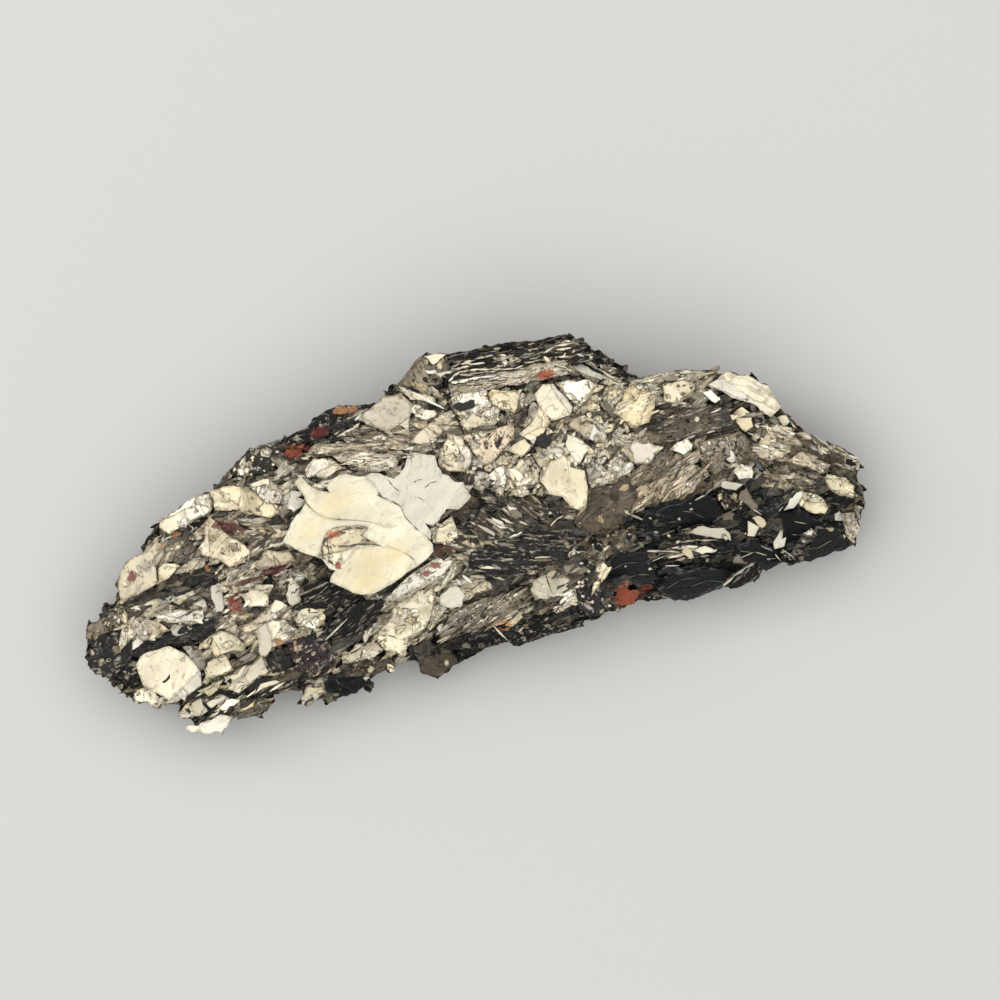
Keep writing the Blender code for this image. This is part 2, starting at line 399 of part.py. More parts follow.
def make_ledges(marks, chance, collection):
    """The foot is the lowest ledge, level and flat below; the others lean a little against each other."""
    ledges = []
    for number in range(LEDGE_COUNT):
        top = LEDGE_RISE * (number + 1)
        inset = FOOT_INSETS[number] if number < len(FOOT_INSETS) else REST_INSET
        outline = ledge_outline(number, inset, top, marks, chance)
        lean, root = (LEDGE_TILT, LEDGE_ROOT) if number else (0.0, 0.0)
        corners = on_plane(outline, top, chance.uniform(0.0, lean), chance.uniform(0.0, 360.0))
        ledges.append(prism(f"ledge_{number}", corners, LEDGE_RISE + root, 1.0, collection))
    return ledges


def make_plates(chance, collection):
    rough = PLATE_RAGGED
    for number, (height, dip, downhill, points) in enumerate(PLATES):
        ragged = [(x + chance.uniform(-rough, rough), y + chance.uniform(-rough, rough)) for x, y in points]
        corners = on_plane(ragged, height, dip, downhill)
        prism(f"plate_{number}", corners, PLATE_DEPTH, PLATE_TAPER, collection)


def make_slivers(chance, collection):
    """Thin slabs set into the flanks all round, standing out of the ledges but not past the rim."""
    for number in range(SLIVER_COUNT):
        along = (number + chance.random()) / SLIVER_COUNT * len(RIM)
        start, end = Vector(RIM[int(along) % len(RIM)]), Vector(RIM[(int(along) + 1) % len(RIM)])
        rim = start.lerp(end, along % 1.0)
        size = chance.uniform(*SLIVER_SIZE)
        level = chance.uniform(*SLIVER_LEVELS)
        shrink = max(0.0, SLIVER_LOW - level) * SLIVER_LOW_STEP
        middle = rim + (spine_at(rim.x) - rim).normalized() * (size * SLIVER_SET_IN + shrink)
        turn = chance.uniform(0.0, math.tau)
        sides = chance.randint(*SLIVER_SIDES)
        points = []
        for side in range(sides):
            angle = turn + side * math.tau / sides
            ray = Vector((math.cos(angle), math.sin(angle)))
            points.append(middle + ray * size * chance.uniform(*SLIVER_RAGGED))
        corners = on_plane(points, level, chance.uniform(0.0, SLIVER_LEAN), chance.uniform(0.0, 360.0))
        prism(f"sliver_{number}", corners, chance.uniform(*SLIVER_THICK), SLIVER_TAPER, collection)


def fuse(foot, helpers):
    """Joins the helpers to the foot, and returns the joined mesh."""
    union = foot.modifiers.new("union", "BOOLEAN")
    union.operation = "UNION"
    union.solver = "EXACT"
    union.operand_type = "COLLECTION"
    union.collection = helpers
    graph = bpy.context.evaluated_depsgraph_get()
    return bpy.data.meshes.new_from_object(foot.evaluated_get(graph))


def shells_of(bm):
    """The mesh's separate surfaces, each as a list of faces."""
    left = set(bm.faces)
    shells = []
    while left:
        shell, growing = [], [left.pop()]
        while growing:
            face = growing.pop()
            shell.append(face)
            for edge in face.edges:
                for other in edge.link_faces:
                    if other in left:
                        left.remove(other)
                        growing.append(other)
        shells.append(shell)
    return shells


def clean(mesh):
    """Keeps the outer surface, drops any void shut inside it, and puts the origin under the middle."""
    bm = bmesh.new()
    bm.from_mesh(mesh)
    bmesh.ops.remove_doubles(bm, verts=bm.verts, dist=WELD * MM)
    shells = sorted(shells_of(bm), key=len)
    for shell in shells[:-1]:
        bmesh.ops.delete(bm, geom=shell, context="FACES")
    bmesh.ops.triangulate(bm, faces=bm.faces)
    bmesh.ops.translate(bm, vec=-PLAN_CENTRE * MM, verts=bm.verts)
    bm.to_mesh(mesh)
    bm.free()


def shungite_black():
    material = bpy.data.materials.new("shungite")
    material.use_nodes = True
    shader = material.node_tree.nodes["Principled BSDF"]
    shader.inputs["Base Color"].default_value = (0.16, 0.15, 0.13, 1.0)
    shader.inputs["Roughness"].default_value = 0.4
    shader.inputs["Metallic"].default_value = 0.0
    return material


def main():
    clear_scene()
    chance = random.Random(SEED)
    marks = crown_marks()
    rock = make_collection("shungite_specimen")
    helpers = make_collection("ledges_and_plates")
    foot = make_ledges(marks, chance, helpers)[0]
    helpers.objects.unlink(foot)
    rock.objects.link(foot)
    make_plates(chance, helpers)
    make_slivers(chance, helpers)
    mesh = fuse(foot, helpers)
    for helper in list(helpers.objects) + [foot]:
        bpy.data.objects.remove(helper, do_unlink=True)
    bpy.data.collections.remove(helpers)
    clean(mesh)
    mesh.materials.clear()
    mesh.materials.append(shungite_black())
    specimen = bpy.data.objects.new("specimen", mesh)
    rock.objects.link(specimen)


main()
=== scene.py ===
# %% [markdown]
# # A specimen of foliated shungite
# The object is one loose piece of black rock, about eight centimetres long. It has split along hundreds of
# parallel planes, so it is a heap of thin plates: bright where a clean plane faces up, dark and glassy
# where the plates end. It could be sculpted from one lump, but then the edges of the plates would melt
# into each other. So it is built the way it grew: a dark body first, then large plates, thin sheets on
# them, and thousands of small flakes and edge-on leaves.

# %% Load the frame
import math
import random

import bmesh
import bpy
from mathutils import Matrix, Vector, noise
from mathutils.bvhtree import BVHTree
from mathutils.geometry import intersect_point_line
from mathutils.kdtree import KDTree


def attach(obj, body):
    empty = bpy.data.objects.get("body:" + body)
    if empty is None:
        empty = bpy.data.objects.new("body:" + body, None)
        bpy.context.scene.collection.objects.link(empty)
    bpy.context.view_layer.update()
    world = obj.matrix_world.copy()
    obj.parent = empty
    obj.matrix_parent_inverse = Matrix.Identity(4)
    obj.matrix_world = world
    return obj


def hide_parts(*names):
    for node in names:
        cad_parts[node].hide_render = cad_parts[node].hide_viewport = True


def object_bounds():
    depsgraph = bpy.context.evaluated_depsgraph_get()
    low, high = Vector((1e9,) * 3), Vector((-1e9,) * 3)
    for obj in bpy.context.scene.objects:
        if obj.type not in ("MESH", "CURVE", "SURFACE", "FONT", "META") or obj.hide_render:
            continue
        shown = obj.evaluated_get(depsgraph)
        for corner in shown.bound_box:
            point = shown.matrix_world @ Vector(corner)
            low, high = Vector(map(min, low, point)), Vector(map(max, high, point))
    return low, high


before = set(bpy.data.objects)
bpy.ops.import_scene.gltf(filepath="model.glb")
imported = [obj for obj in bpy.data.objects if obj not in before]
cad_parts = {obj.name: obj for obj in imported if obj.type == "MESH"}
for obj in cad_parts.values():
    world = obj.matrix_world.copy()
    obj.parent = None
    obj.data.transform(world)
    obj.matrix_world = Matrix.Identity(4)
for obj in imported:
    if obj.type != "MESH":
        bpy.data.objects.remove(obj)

cad_low, cad_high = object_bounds()
print("CAD box in mm:", [round(side * 1000, 1) for side in cad_high - cad_low])

# %% [markdown]
# The rock is described on a plan of its own, in millimetres, because that is how a person would measure
# it with a ruler. The plan's zero isn't the middle of the rock, so every finished mesh is moved by
# `PLAN_CENTRE` and scaled to metres at the very end. Noise patterns are also easier to judge in
# millimetres: a frequency of 1 gives lumps about a millimetre wide.

# %% Plan and metres
MM = 0.001
PLAN_CENTRE = Vector((0.135, 1.511, 0.0))
TO_METRES = Matrix.Scale(MM, 4) @ Matrix.Translation(-PLAN_CENTRE)
TO_PLAN = TO_METRES.inverted()
WELD = 0.0001

solid = bmesh.new()
solid.from_mesh(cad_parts["specimen"].data)
solid.transform(TO_PLAN)
bmesh.ops.remove_doubles(solid, verts=solid.verts, dist=WELD)
bmesh.ops.recalc_face_normals(solid, faces=solid.faces)


def spot(place, scales, seed):
    """Where to read a noise pattern with so many lumps to the millimetre along X, Y and Z."""
    return Vector((place.x * scales[0], place.y * scales[1], place.z * scales[2] + seed))


print("the solid has", len(solid.faces), "faces")

# %% [markdown]
# The solid is too full at its north-east corner, where the real rock ends along a slanted line. This copy
# is drawn in there: whatever stands out past the line moves most of the way back to it. The strength
# grows along X, so that the edge bends without a step. The solid itself stays as it is.

# %% Draw the corner in
CORNER = Vector((37.7, -1.2))         # a place on the slanted line
CORNER_OUT = Vector((0.61, 0.79))     # the way outward from it
CORNER_FROM, CORNER_FULL = 33.5, 35.5
CORNER_SHARE = 0.9


def draw_corner_in(vert):
    """How far the vertex has moved back."""
    grown = min(max((vert.co.x - CORNER_FROM) / (CORNER_FULL - CORNER_FROM), 0.0), 1.0)
    over = max((vert.co.to_2d() - CORNER).dot(CORNER_OUT), 0.0) * grown * CORNER_SHARE
    vert.co -= (CORNER_OUT * over).to_3d()
    return over


print("drawn in by up to", round(max([draw_corner_in(vert) for vert in solid.verts]), 2), "mm")

# %% [markdown]
# Later steps have to know how high the solid is at some place of the plan. A ray from above finds it.

# %% Rays from above
SKY = 40.0                # higher than the rock
DOWN = Vector((0.0, 0.0, -1.0))
surface = BVHTree.FromBMesh(solid)


def ground_at(x, y):
    """The solid's highest point at a place of the plan, or None beside the rock."""
    return surface.ray_cast(Vector((x, y, SKY)), DOWN)[0]


print("at (0, 0) the solid is", round(ground_at(0.0, 0.0).z, 1), "mm high")

# %% [markdown]
# ## Finishes
# Every face carries its own finish: a colour and how glossy it is. The rock has no paint, so these are
# the colours of clean cleavage planes, of weathered ones, of glassy black rock and of iron stain. The pale
# ones are partly painted reflection: a clean plane looks pale because it mirrors the light, and would look
# dark under other light. The brightest finish is a painted highlight, a lighter copy of cream where a plate
# catches the light, and the blue-grey one a painted glint on the glass. They are kept in one list, so that
# one change reaches every plate that has the finish. The fourth number is the gloss, from 0 for earthy to 1
# for glass.

# %% List the finishes
FINISHES = {
    # a lighter copy of cream: painted highlight where a plate catches the light
    "bright": (0.99, 0.920, 0.725, 0.65),
    "ivory": (0.775, 0.727, 0.560, 0.62),
    "cream": (0.775, 0.697, 0.505, 0.55),
    "gold": (0.72, 0.600, 0.385, 0.50),
    "white": (0.85, 0.795, 0.645, 0.60),
    "bone": (0.72, 0.660, 0.520, 0.60),
    "rubble": (0.60, 0.500, 0.380, 0.45),
    "pearl": (0.64, 0.575, 0.450, 0.58),
    "sand": (0.46, 0.385, 0.270, 0.40),
    "pink": (0.56, 0.455, 0.350, 0.45),
    "grey": (0.26, 0.226, 0.165, 0.50),
    "smoke": (0.090, 0.077, 0.055, 0.58),
    "layered": (0.040, 0.035, 0.026, 0.60),
    "brown": (0.125, 0.102, 0.076, 0.40),
    "purple": (0.055, 0.036, 0.038, 0.55),
    "black": (0.012, 0.011, 0.009, 0.62),
    "glass": (0.007, 0.009, 0.009, 0.86),
    # blue-grey painted glint, where the glass reflects the light
    "painted_glint": (0.15, 0.185, 0.215, 0.75),
}
# What the small flakes on a plate of each finish are made of, and those on the flanks.
MIXES = {
    "bright": "bright bright ivory bright cream",
    "ivory": "ivory ivory white",
    "cream": "cream white ivory cream pearl",
    "gold": "gold cream sand",
    "white": "white white bone cream pearl",
    "bone": "bone white pearl",
    "rubble": "white pink black ivory pearl white brown bright",
    "pearl": "pearl white bone cream grey",
    "sand": "sand cream pink brown grey",
    "pink": "pink pearl sand white brown",
    "grey": "grey pearl smoke black white",
    "smoke": "smoke grey black brown pearl",
    "layered": "black bright pearl smoke white bone",
    "brown": "brown smoke sand",
    "purple": "purple brown black pink",
    "black": "black black smoke grey",
    "glass": "glass glass black smoke glass pearl",
    "flank": "black glass smoke black grey black smoke glass black grey",
}
CRUMBS = {name: mix.split() for name, mix in MIXES.items()}
print(len(FINISHES), "finishes")

# %% [markdown]
# ## The plates
# The large plates are what one recognises the specimen by, so each has a row of its own: its finish, how
# broken its surface is (0 smooth, 1 all crumbs), the direction in which its slivers lie if it has a grain,
# the height of its middle, its dip and the compass direction in which it runs downhill (0 is +X, 90 is
# +Y), and its outline. The outlines and most of the planes are the solid's own, so the plates lie on the
# solid; a few planes are set a little lower or flatter, where the solid ended up so.

# %% Tables of the plates
WEST_END = (
    ("black", 0.6, None, 9.5, 12, 193, ((-38.7,-2.6), (-36.4,-1.5), (-34.8,-2.4), (-35.3,-4.6), (-37.2,-6.2),
    (-39.2,-5.6), (-39.9,-4.4))),
    ("grey", 0.9, None, 9.7, 24, 169, ((-39.4,-1.9), (-39.1,-0.7), (-37,-0.4), (-35.2,0.8), (-34.6,-0.8),
    (-36.6,-1.7), (-38.3,-2.3))),
    ("black", 0.8, None, 8.9, 32, 247, ((-38.2,-6.5), (-36.4,-5.4), (-35.2,-6), (-35.4,-7.6), (-36.2,-8),
    (-37.2,-7.2))),
    ("bone", 0.13, None, 10.6, 5, 200, ((-35.2,-5.7), (-34.6,-5), (-33.6,-4.7), (-31.5,-4.7), (-30.2,-5.7),
    (-29.4,-6.9), (-29,-8), (-29.3,-9.3), (-31.2,-10), (-32.8,-9.9), (-33.8,-9), (-35,-7.9))),
    ("white", 0.3, None, 9, 16, 235, ((-36.3,-8.6), (-35.6,-8), (-34.5,-8.2), (-33.5,-9.2), (-31.2,-10),
    (-32.8,-10.3), (-34.4,-10.5), (-35.2,-9.6), (-36.2,-9.4))),
    ("pearl", 0.35, None, 9.6, 32, 0, ((-30.2,-5.2), (-28.6,-5.3), (-28.2,-6.6), (-28.6,-8.1), (-29.3,-9))),
    ("white", 0.3, None, 11.9, 8, 300, ((-32.4,-1.4), (-31.2,-0.9), (-29.4,-1.3), (-27.5,-2.1), (-27.3,-2.8),
    (-28.6,-3.1), (-30.2,-2.8), (-31.6,-2.2))),
    ("pearl", 0.6, None, 11.2, 12, 230, ((-34.7,-1.8), (-33.6,-1.2), (-32.2,-1.8), (-30.9,-3), (-32.2,-3.5),
    (-33.9,-3.4))),
    ("bone", 0.2, None, 12, 14, 130, ((-35,0.8), (-35,2.3), (-34.4,3.7), (-33.5,4.6), (-31.2,5.2),
    (-30.1,5.8), (-29.6,5.1), (-30.8,4.3), (-31,1.7), (-32.8,1.2))),
    ("cream", 0.15, None, 12.1, 10, 330, ((-31.1,1.6), (-30.5,2.9), (-29.8,3.5), (-28.4,2.9), (-29,2.3))),
    ("white", 0.25, None, 13.2, 14, 110, ((-29.5,7), (-29.3,7.6), (-27.6,8.3), (-25,9.1), (-23.8,9.2),
    (-23.7,8.1), (-24.3,7.3), (-26.4,6.9), (-28.6,6.3))),
    ("pearl", 0.3, None, 12.8, 10, 170, ((-27.1,5.3), (-26.2,5.9), (-25,6.3), (-24.8,5.4), (-26.6,4.9))),
    ("pearl", 0.35, None, 14.6, 8, 200, ((-25,6.4), (-24.3,6.9), (-23.8,6), (-23.3,5), (-21.9,3.7),
    (-21.2,2.6), (-21.7,1.6), (-23.6,1.5), (-24.5,2.5), (-26.1,3.4), (-26.2,4.1), (-25.3,4.9))),
    ("cream", 0.2, None, 12.6, 14, 285, ((-27,-4.7), (-26,-4.3), (-25.1,-4.9), (-24,-6.3), (-24.4,-6.9),
    (-25.9,-6.5), (-27.3,-6.8), (-27.4,-5.8))),
    ("cream", 0.35, None, 11.4, 22, 270, ((-27.6,-7.1), (-26.5,-6.9), (-25.9,-8.3), (-27,-8.8), (-28.9,-9),
    (-28.7,-7.8))),
)
SOUTH_SLATS = (
    ("bright", 0.3, 22, 9.8, 28, 290, ((-26.9,-9), (-24.8,-8.5), (-22.9,-7.9), (-22.6,-9.3), (-24.4,-10.2),
    (-25.7,-10.8), (-26.7,-10.2))),
    ("ivory", 0.3, 22, 9.2, 25, 285, ((-29.8,-9.9), (-27.4,-9.2), (-27.2,-10), (-28.8,-10.7))),
    ("white", 0.5, 18, 8, 24, 285, ((-29.4,-11), (-27.5,-10.5), (-25.4,-11), (-26.3,-12.1), (-28.2,-12))),
    ("layered", 0.8, 22, 8.2, 22, 290, ((-25.2,-11.4), (-22,-9.9), (-19.6,-10.6), (-20.4,-11.6),
    (-24.2,-11.8))),
    ("bone", 0.25, 12, 7.7, 28, 195, ((-32.5,-11.3), (-31,-10.9), (-29.6,-10.8), (-29.3,-11.7),
    (-30.4,-12.2), (-32.1,-12))),
    ("white", 0.15, None, 7.9, 8, 206, ((-32.1,-12.8), (-30.6,-12.9), (-28.3,-12.8), (-27.1,-13.1),
    (-28.6,-14.5), (-30.4,-13.8), (-32,-13.3))),
    ("smoke", 0.5, 10, 7, 1, 327, ((-26.8,-12.9), (-24.4,-12.6), (-23,-12.5), (-23.2,-13.2), (-25,-13.5),
    (-26.8,-13.6))),
    ("pearl", 0.7, None, 5.6, 22, 280, ((-20.2,-12.9), (-18.4,-11.6), (-17.2,-11.4), (-17.4,-12.5),
    (-18.6,-13.5), (-20,-13.8))),
    ("glass", 0.12, None, 6.4, 34, 265, ((-17.4,-12.2), (-16.6,-11.3), (-15,-11.8), (-13.4,-12.2),
    (-12.6,-13.2), (-15.6,-13.9), (-17.4,-13.3))),
    ("smoke", 0.9, None, 8, 30, 275, ((-15.4,-10.8), (-13,-10.6), (-10.2,-11), (-10.2,-12.2), (-13.2,-12.4),
    (-15.2,-11.9))),
    ("black", 0.3, None, 10.9, 16, 265, ((-22.4,-8.2), (-21.3,-7.8), (-20.1,-7.6), (-19.8,-8.6),
    (-20.2,-9.6), (-22.1,-9.8))),
    ("purple", 0.8, None, 11, 16, 290, ((-20,-7.4), (-17.4,-6.9), (-15.6,-8.2), (-16,-9.9), (-17.8,-10.7),
    (-19.8,-10.2))),
    ("white", 0.5, 22, 13, 20, 250, ((-22.9,-5.4), (-21.4,-4.8), (-19.6,-4.8), (-18.6,-6.2), (-20.4,-7.2),
    (-22.6,-7.7))),
    ("ivory", 0.45, None, 14.2, 10, 280, ((-18.6,-5), (-17.2,-4.2), (-15.6,-4.8), (-15.7,-6.2), (-16.6,-6.5),
    (-18.3,-5.8))),
    ("black", 0.5, 24, 13.6, 22, 292, ((-15.6,-6.4), (-13,-5.2), (-11,-5), (-9.6,-5.6), (-11,-7.3),
    (-13.2,-8), (-15.4,-7.8))),
)
WEST_MIDDLE = (
    ("white", 0.2, None, 15, 12, 250, ((-23.1,-1.5), (-21.2,-0.9), (-19.9,-1), (-20.9,-3), (-22.8,-2.8))),
    ("bone", 0.3, None, 14.8, 22, 350, ((-18.9,-2.4), (-18,-1), (-17.2,-2), (-17.5,-3.6), (-18.6,-3.9))),
    ("pearl", 0.3, None, 13.9, 14, 275, ((-24.3,-4.5), (-22.4,-4.2), (-20.2,-3), (-18.6,-4), (-21.4,-4.7),
    (-23.6,-5.3))),
    ("black", 0.8, 15, 14.6, 25, 285, ((-16.9,-2.1), (-15,-1.8), (-13,-3.3), (-11.4,-4.9), (-15,-5),
    (-17.5,-4))),
    ("cream", 0.25, None, 15.6, 10, 150, ((-23.6,9.3), (-21.4,9.3), (-20,8.8), (-18.6,7.2), (-17,6),
    (-18.4,5.3), (-20.2,6.1), (-22,6.9), (-23.6,7.4))),
    ("pearl", 0.8, None, 16.3, 12, 60, ((-19.8,8.8), (-17.6,9), (-16.6,7.6), (-17.2,6.4), (-18.8,7))),
    ("bright", 0.1, None, 17.4, 12, 180, ((-16.6,6), (-15.7,7.3), (-14.7,7.1), (-14.6,5.9), (-16,5.4))),
    ("pearl", 0.3, None, 15.4, 10, 190, ((-21,1.2), (-19.6,2.2), (-17.4,1.7), (-17,0.6), (-20.8,0.5))),
    ("layered", 0.95, None, 13.6, 20, 110, ((-21.2,10.4), (-20.4,11.7), (-18.8,12.5), (-16.2,12.4),
    (-15.8,10.9), (-17.4,9.8), (-19.8,9.9))),
    ("black", 0.7, None, 13.4, 30, 100, ((-15.4,12.5), (-13,13.1), (-10.6,14.3), (-9.2,14.6), (-7.8,13.6),
    (-9.4,12.2), (-12.6,11.7), (-15,11.6))),
)
GREAT_PLATE = (
    ("ivory", 0.03, 20, 19.8, 2, 190, ((-17.8,2.6), (-17.1,3.5), (-16.5,4.3), (-15.8,4.9), (-15.2,5.3),
    (-14.6,5.9), (-14.6,6.5), (-14.9,7.1), (-15.2,8.2), (-14.5,8.6), (-14.1,8), (-13.8,7.5), (-13.1,6.8),
    (-12.1,6.35), (-11.6,6.7), (-9,6.8), (-7.7,6.6), (-6.6,5.6), (-6,3.9), (-5.4,2.9), (-5,1.6), (-4.6,0.7),
    (-4.1,0.2), (-3.7,-0.5), (-3.4,-1.15), (-3.5,-1.8), (-4.1,-2.3), (-5.5,-2.85), (-6.8,-3.4), (-8.1,-3.9),
    (-9.5,-4.3), (-10.5,-4.45), (-11.45,-4.35), (-12.3,-3.9), (-12.9,-3.3), (-13.4,-2.9), (-14.2,-2.3),
    (-13.95,-1.8), (-13.4,-1.3), (-13.9,-1), (-14.5,0.2), (-14.9,0.45), (-15.5,0.8), (-16.3,1.25),
    (-17.1,2.05))),
    ("ivory", 0.03, 20, 20, 4, 30, ((-14.6,5.9), (-14.5,6.6), (-14.8,7.2), (-15.1,8.1), (-14.5,8.55),
    (-14.1,7.9), (-13.8,7.4), (-13.1,6.75), (-12.1,6.3), (-11.9,6.1), (-12.2,6.5), (-12.3,7), (-11.6,7.5),
    (-10.8,7.75), (-10,7.7), (-9,7.15), (-8.3,7.05), (-7.6,6.3), (-7.3,5.3), (-7,4.5), (-6.4,3.9),
    (-5.7,3.4), (-5.5,2.8), (-5.4,2.2), (-5.7,1.5), (-6.6,1.35), (-7.1,1.35), (-7.7,1.7), (-8.7,2.4),
    (-10.2,3), (-11.4,3.4), (-12.3,3.7), (-13.05,4), (-13.8,4.6), (-14.2,5.1))),
    ("ivory", 0.05, 60, 19.98, 3, 255, ((-11.45,0), (-10.3,0.2), (-9.5,0.15), (-8.7,0), (-7.6,-0.5),
    (-7.1,-0.7), (-6.3,-1.3), (-5.6,-2.1), (-5.5,-2.75), (-6.8,-3.35), (-8.1,-3.85), (-9.5,-4.25),
    (-10.5,-4.4), (-11.4,-4.3), (-12.2,-3.9), (-12.8,-3.3), (-13.3,-2.9), (-14.1,-2.25), (-13.8,-1.7),
    (-13.3,-1.3), (-12.7,-0.9), (-12.1,-0.6))),
    ("bone", 0.05, 35, 20.2, 4, 300, ((-8.3,7.05), (-7.6,7.2), (-6.9,6.95), (-6.2,6.5), (-5.6,6.1), (-5,6.3),
    (-4.6,6.7), (-4.2,7.1), (-3.9,7.6), (-3,8.1), (-2.1,7.7), (-1.1,7.3), (-1.05,6.3), (-0.8,5.5), (-0.15,5),
    (0.3,4.3), (1,4.15), (1.1,3.35), (1.45,2.55), (1,2.15), (-0.15,1.6), (-0.65,1.75), (-1.3,1.9),
    (-1.95,1.25), (-2.4,0.85), (-3.05,0.7), (-3.7,1.1), (-3.3,0.2), (-3.5,-0.7), (-4.1,0.1), (-4.8,0.6),
    (-5.1,1.4), (-5.4,2.2), (-5.5,2.9), (-5.7,3.45), (-6.45,3.9), (-7,4.5), (-7.35,5.3), (-7.6,6.2))),
    ("bone", 0.45, None, 19.86, 2, 190, ((-14.4,0.9), (-14,1.6), (-13.7,2.1), (-13.2,2.6), (-12.6,2.8),
    (-11.9,2.75), (-10.3,2.5), (-9.2,2), (-10.1,1.4), (-9.4,0.8), (-8.8,0.25), (-10.2,0.7), (-11.3,0.5),
    (-12.5,0.3), (-12.5,-0.5), (-13.4,-0.9), (-14.2,0), (-14.9,0.35))),
    ("bright", 0.35, None, 17.9, 18, 300, ((-3.5,0.5), (-1,1), (-0.6,-0.6), (-1.8,-1.5), (-3.3,-0.9))),
    ("brown", 0.3, None, 17, 35, 300, ((-0.8,1.2), (0.6,2), (1.4,2.15), (2.1,2.1), (2.1,1.5), (1,0.6),
    (0,-0.3), (-0.3,0.5))),
    ("white", 0.3, None, 18.4, 14, 110, ((-13.9,9), (-12.9,9.9), (-11.2,9.5), (-10,8.3), (-12.2,7.9),
    (-13.8,8.4))),
    ("pearl", 0.6, -12, 18.9, 12, 60, ((-10.9,9.7), (-9.6,9.9), (-6.6,9), (-4.4,8.2), (-5,7.1), (-7.2,7.1),
    (-9.6,8.5))),
    ("pearl", 0.7, -14, 17.6, 24, 70, ((-13.6,10.4), (-12.5,11.2), (-8.6,10.4), (-5,9.5), (-4.4,8.8),
    (-8.4,9.7), (-11.4,9.9))),
    ("pearl", 0.15, -22, 18, 14, 100, ((-7.5,12.6), (-5.8,13.8), (-4.8,14.2), (-3,14), (-1.9,12.8),
    (-2.7,11.5), (-3.2,10), (-4.4,10.3), (-6.6,11.8))),
    ("white", 0.3, None, 18.6, 16, 60, ((-2.4,12), (-1.8,12.8), (-0.2,11.7), (0.4,11.1), (-1.4,11.1))),
    ("pearl", 0.2, None, 19.8, 8, 80, ((-3.3,9.3), (-1.8,10.2), (-0.4,10.6), (0.4,9.6), (-1.2,8.4))),
    ("bright", 0.15, -30, 18.2, 30, 55, ((-2.9,14.9), (-1.6,14.1), (0.4,12.9), (0.2,12.3), (-1.2,12.9),
    (-2.7,14.1))),
    ("grey", 0.6, None, 16.2, 20, 110, ((-2.8,15.1), (-1.5,16.2), (0.3,17.5), (2.3,16.8), (2.4,15.4), (1,14),
    (-1.2,14.4))),
)
KNOB = (
    ("black", 0.5, -2, 14.2, 35, 90, ((2.2,16.8), (7.8,16.5), (11.2,15.9), (14.9,15.9), (15.2,15.2),
    (9,15.2), (3,15.7))),
    ("layered", 0.8, -2, 16.2, 36, 88, ((1.6,15.6), (6,15.7), (15.2,15.2), (16.3,14.5), (15.4,13.9),
    (9,14.4), (2.4,14.7))),
    ("layered", 1, -4, 18.4, 38, 88, ((1.8,14.9), (8,14.6), (14.8,14.4), (17.3,12.8), (14.6,12.7), (8,13.5),
    (2.2,13.7))),
    ("bone", 1, -4, 20.3, 32, 88, ((2,13.9), (8,13.7), (13.6,13.5), (14.4,12), (8,12.3), (2.4,12.6))),
    ("bright", 0.2, -42, 17.8, 34, 45, ((13.4,13.7), (14.6,13.8), (16.6,11.9), (18.5,10.2), (17.4,9.9),
    (15.2,11.4))),
    ("white", 0.6, None, 21.1, 6, 150, ((2,12.6), (3.8,12.7), (5.4,12.2), (5.4,11), (6.2,10.2), (6,9.1),
    (4.6,8.9), (2.4,9.4), (2,11))),
    ("gold", 0.25, None, 21.6, 6, 80, ((5.5,12), (6,12.3), (7,11.9), (8.2,11.7), (8.6,11.3), (8.3,10.6),
    (7.6,9.4), (7,9.8), (6.2,10.4), (5.6,11))),
    ("bone", 0.12, None, 21.6, 5, 20, ((10,10.8), (11,11.6), (12,11.4), (12.3,10.8), (12.8,10), (13.4,8.6),
    (12.9,8), (11.5,7.8), (11,7.9), (10.5,8.9), (10,9.8))),
    ("bright", 0.4, None, 20.6, 16, 30, ((12.4,11.4), (15,11.1), (16.9,10), (15.6,9.4), (14,8.6),
    (12.9,10))),
    ("cream", 0.12, None, 21, 8, 235, ((7.5,7.4), (8.5,7.8), (9.3,8.5), (9.8,9.3), (10.4,8.8), (10.7,8),
    (10.3,7.3), (9.9,6.9), (9.2,6.7), (8.8,6.2), (8.2,6.7))),
    ("cream", 0.12, None, 20.4, 9, 250, ((5.9,6.1), (7,6.6), (8,6.7), (8.5,6), (8.2,5.6), (7.2,5.1),
    (6.6,5.4))),
    ("rubble", 0.8, None, 20.2, 12, 190, ((2.4,8.6), (4.4,8.6), (7.2,8.4), (6.8,7), (5.2,5.8), (3.4,5.3),
    (2.5,7))),
    ("pearl", 0.6, None, 19.8, 10, 220, ((-0.9,7), (0.9,9), (1.9,8.6), (2.4,6), (1.4,5.1), (-0.8,5.8))),
)
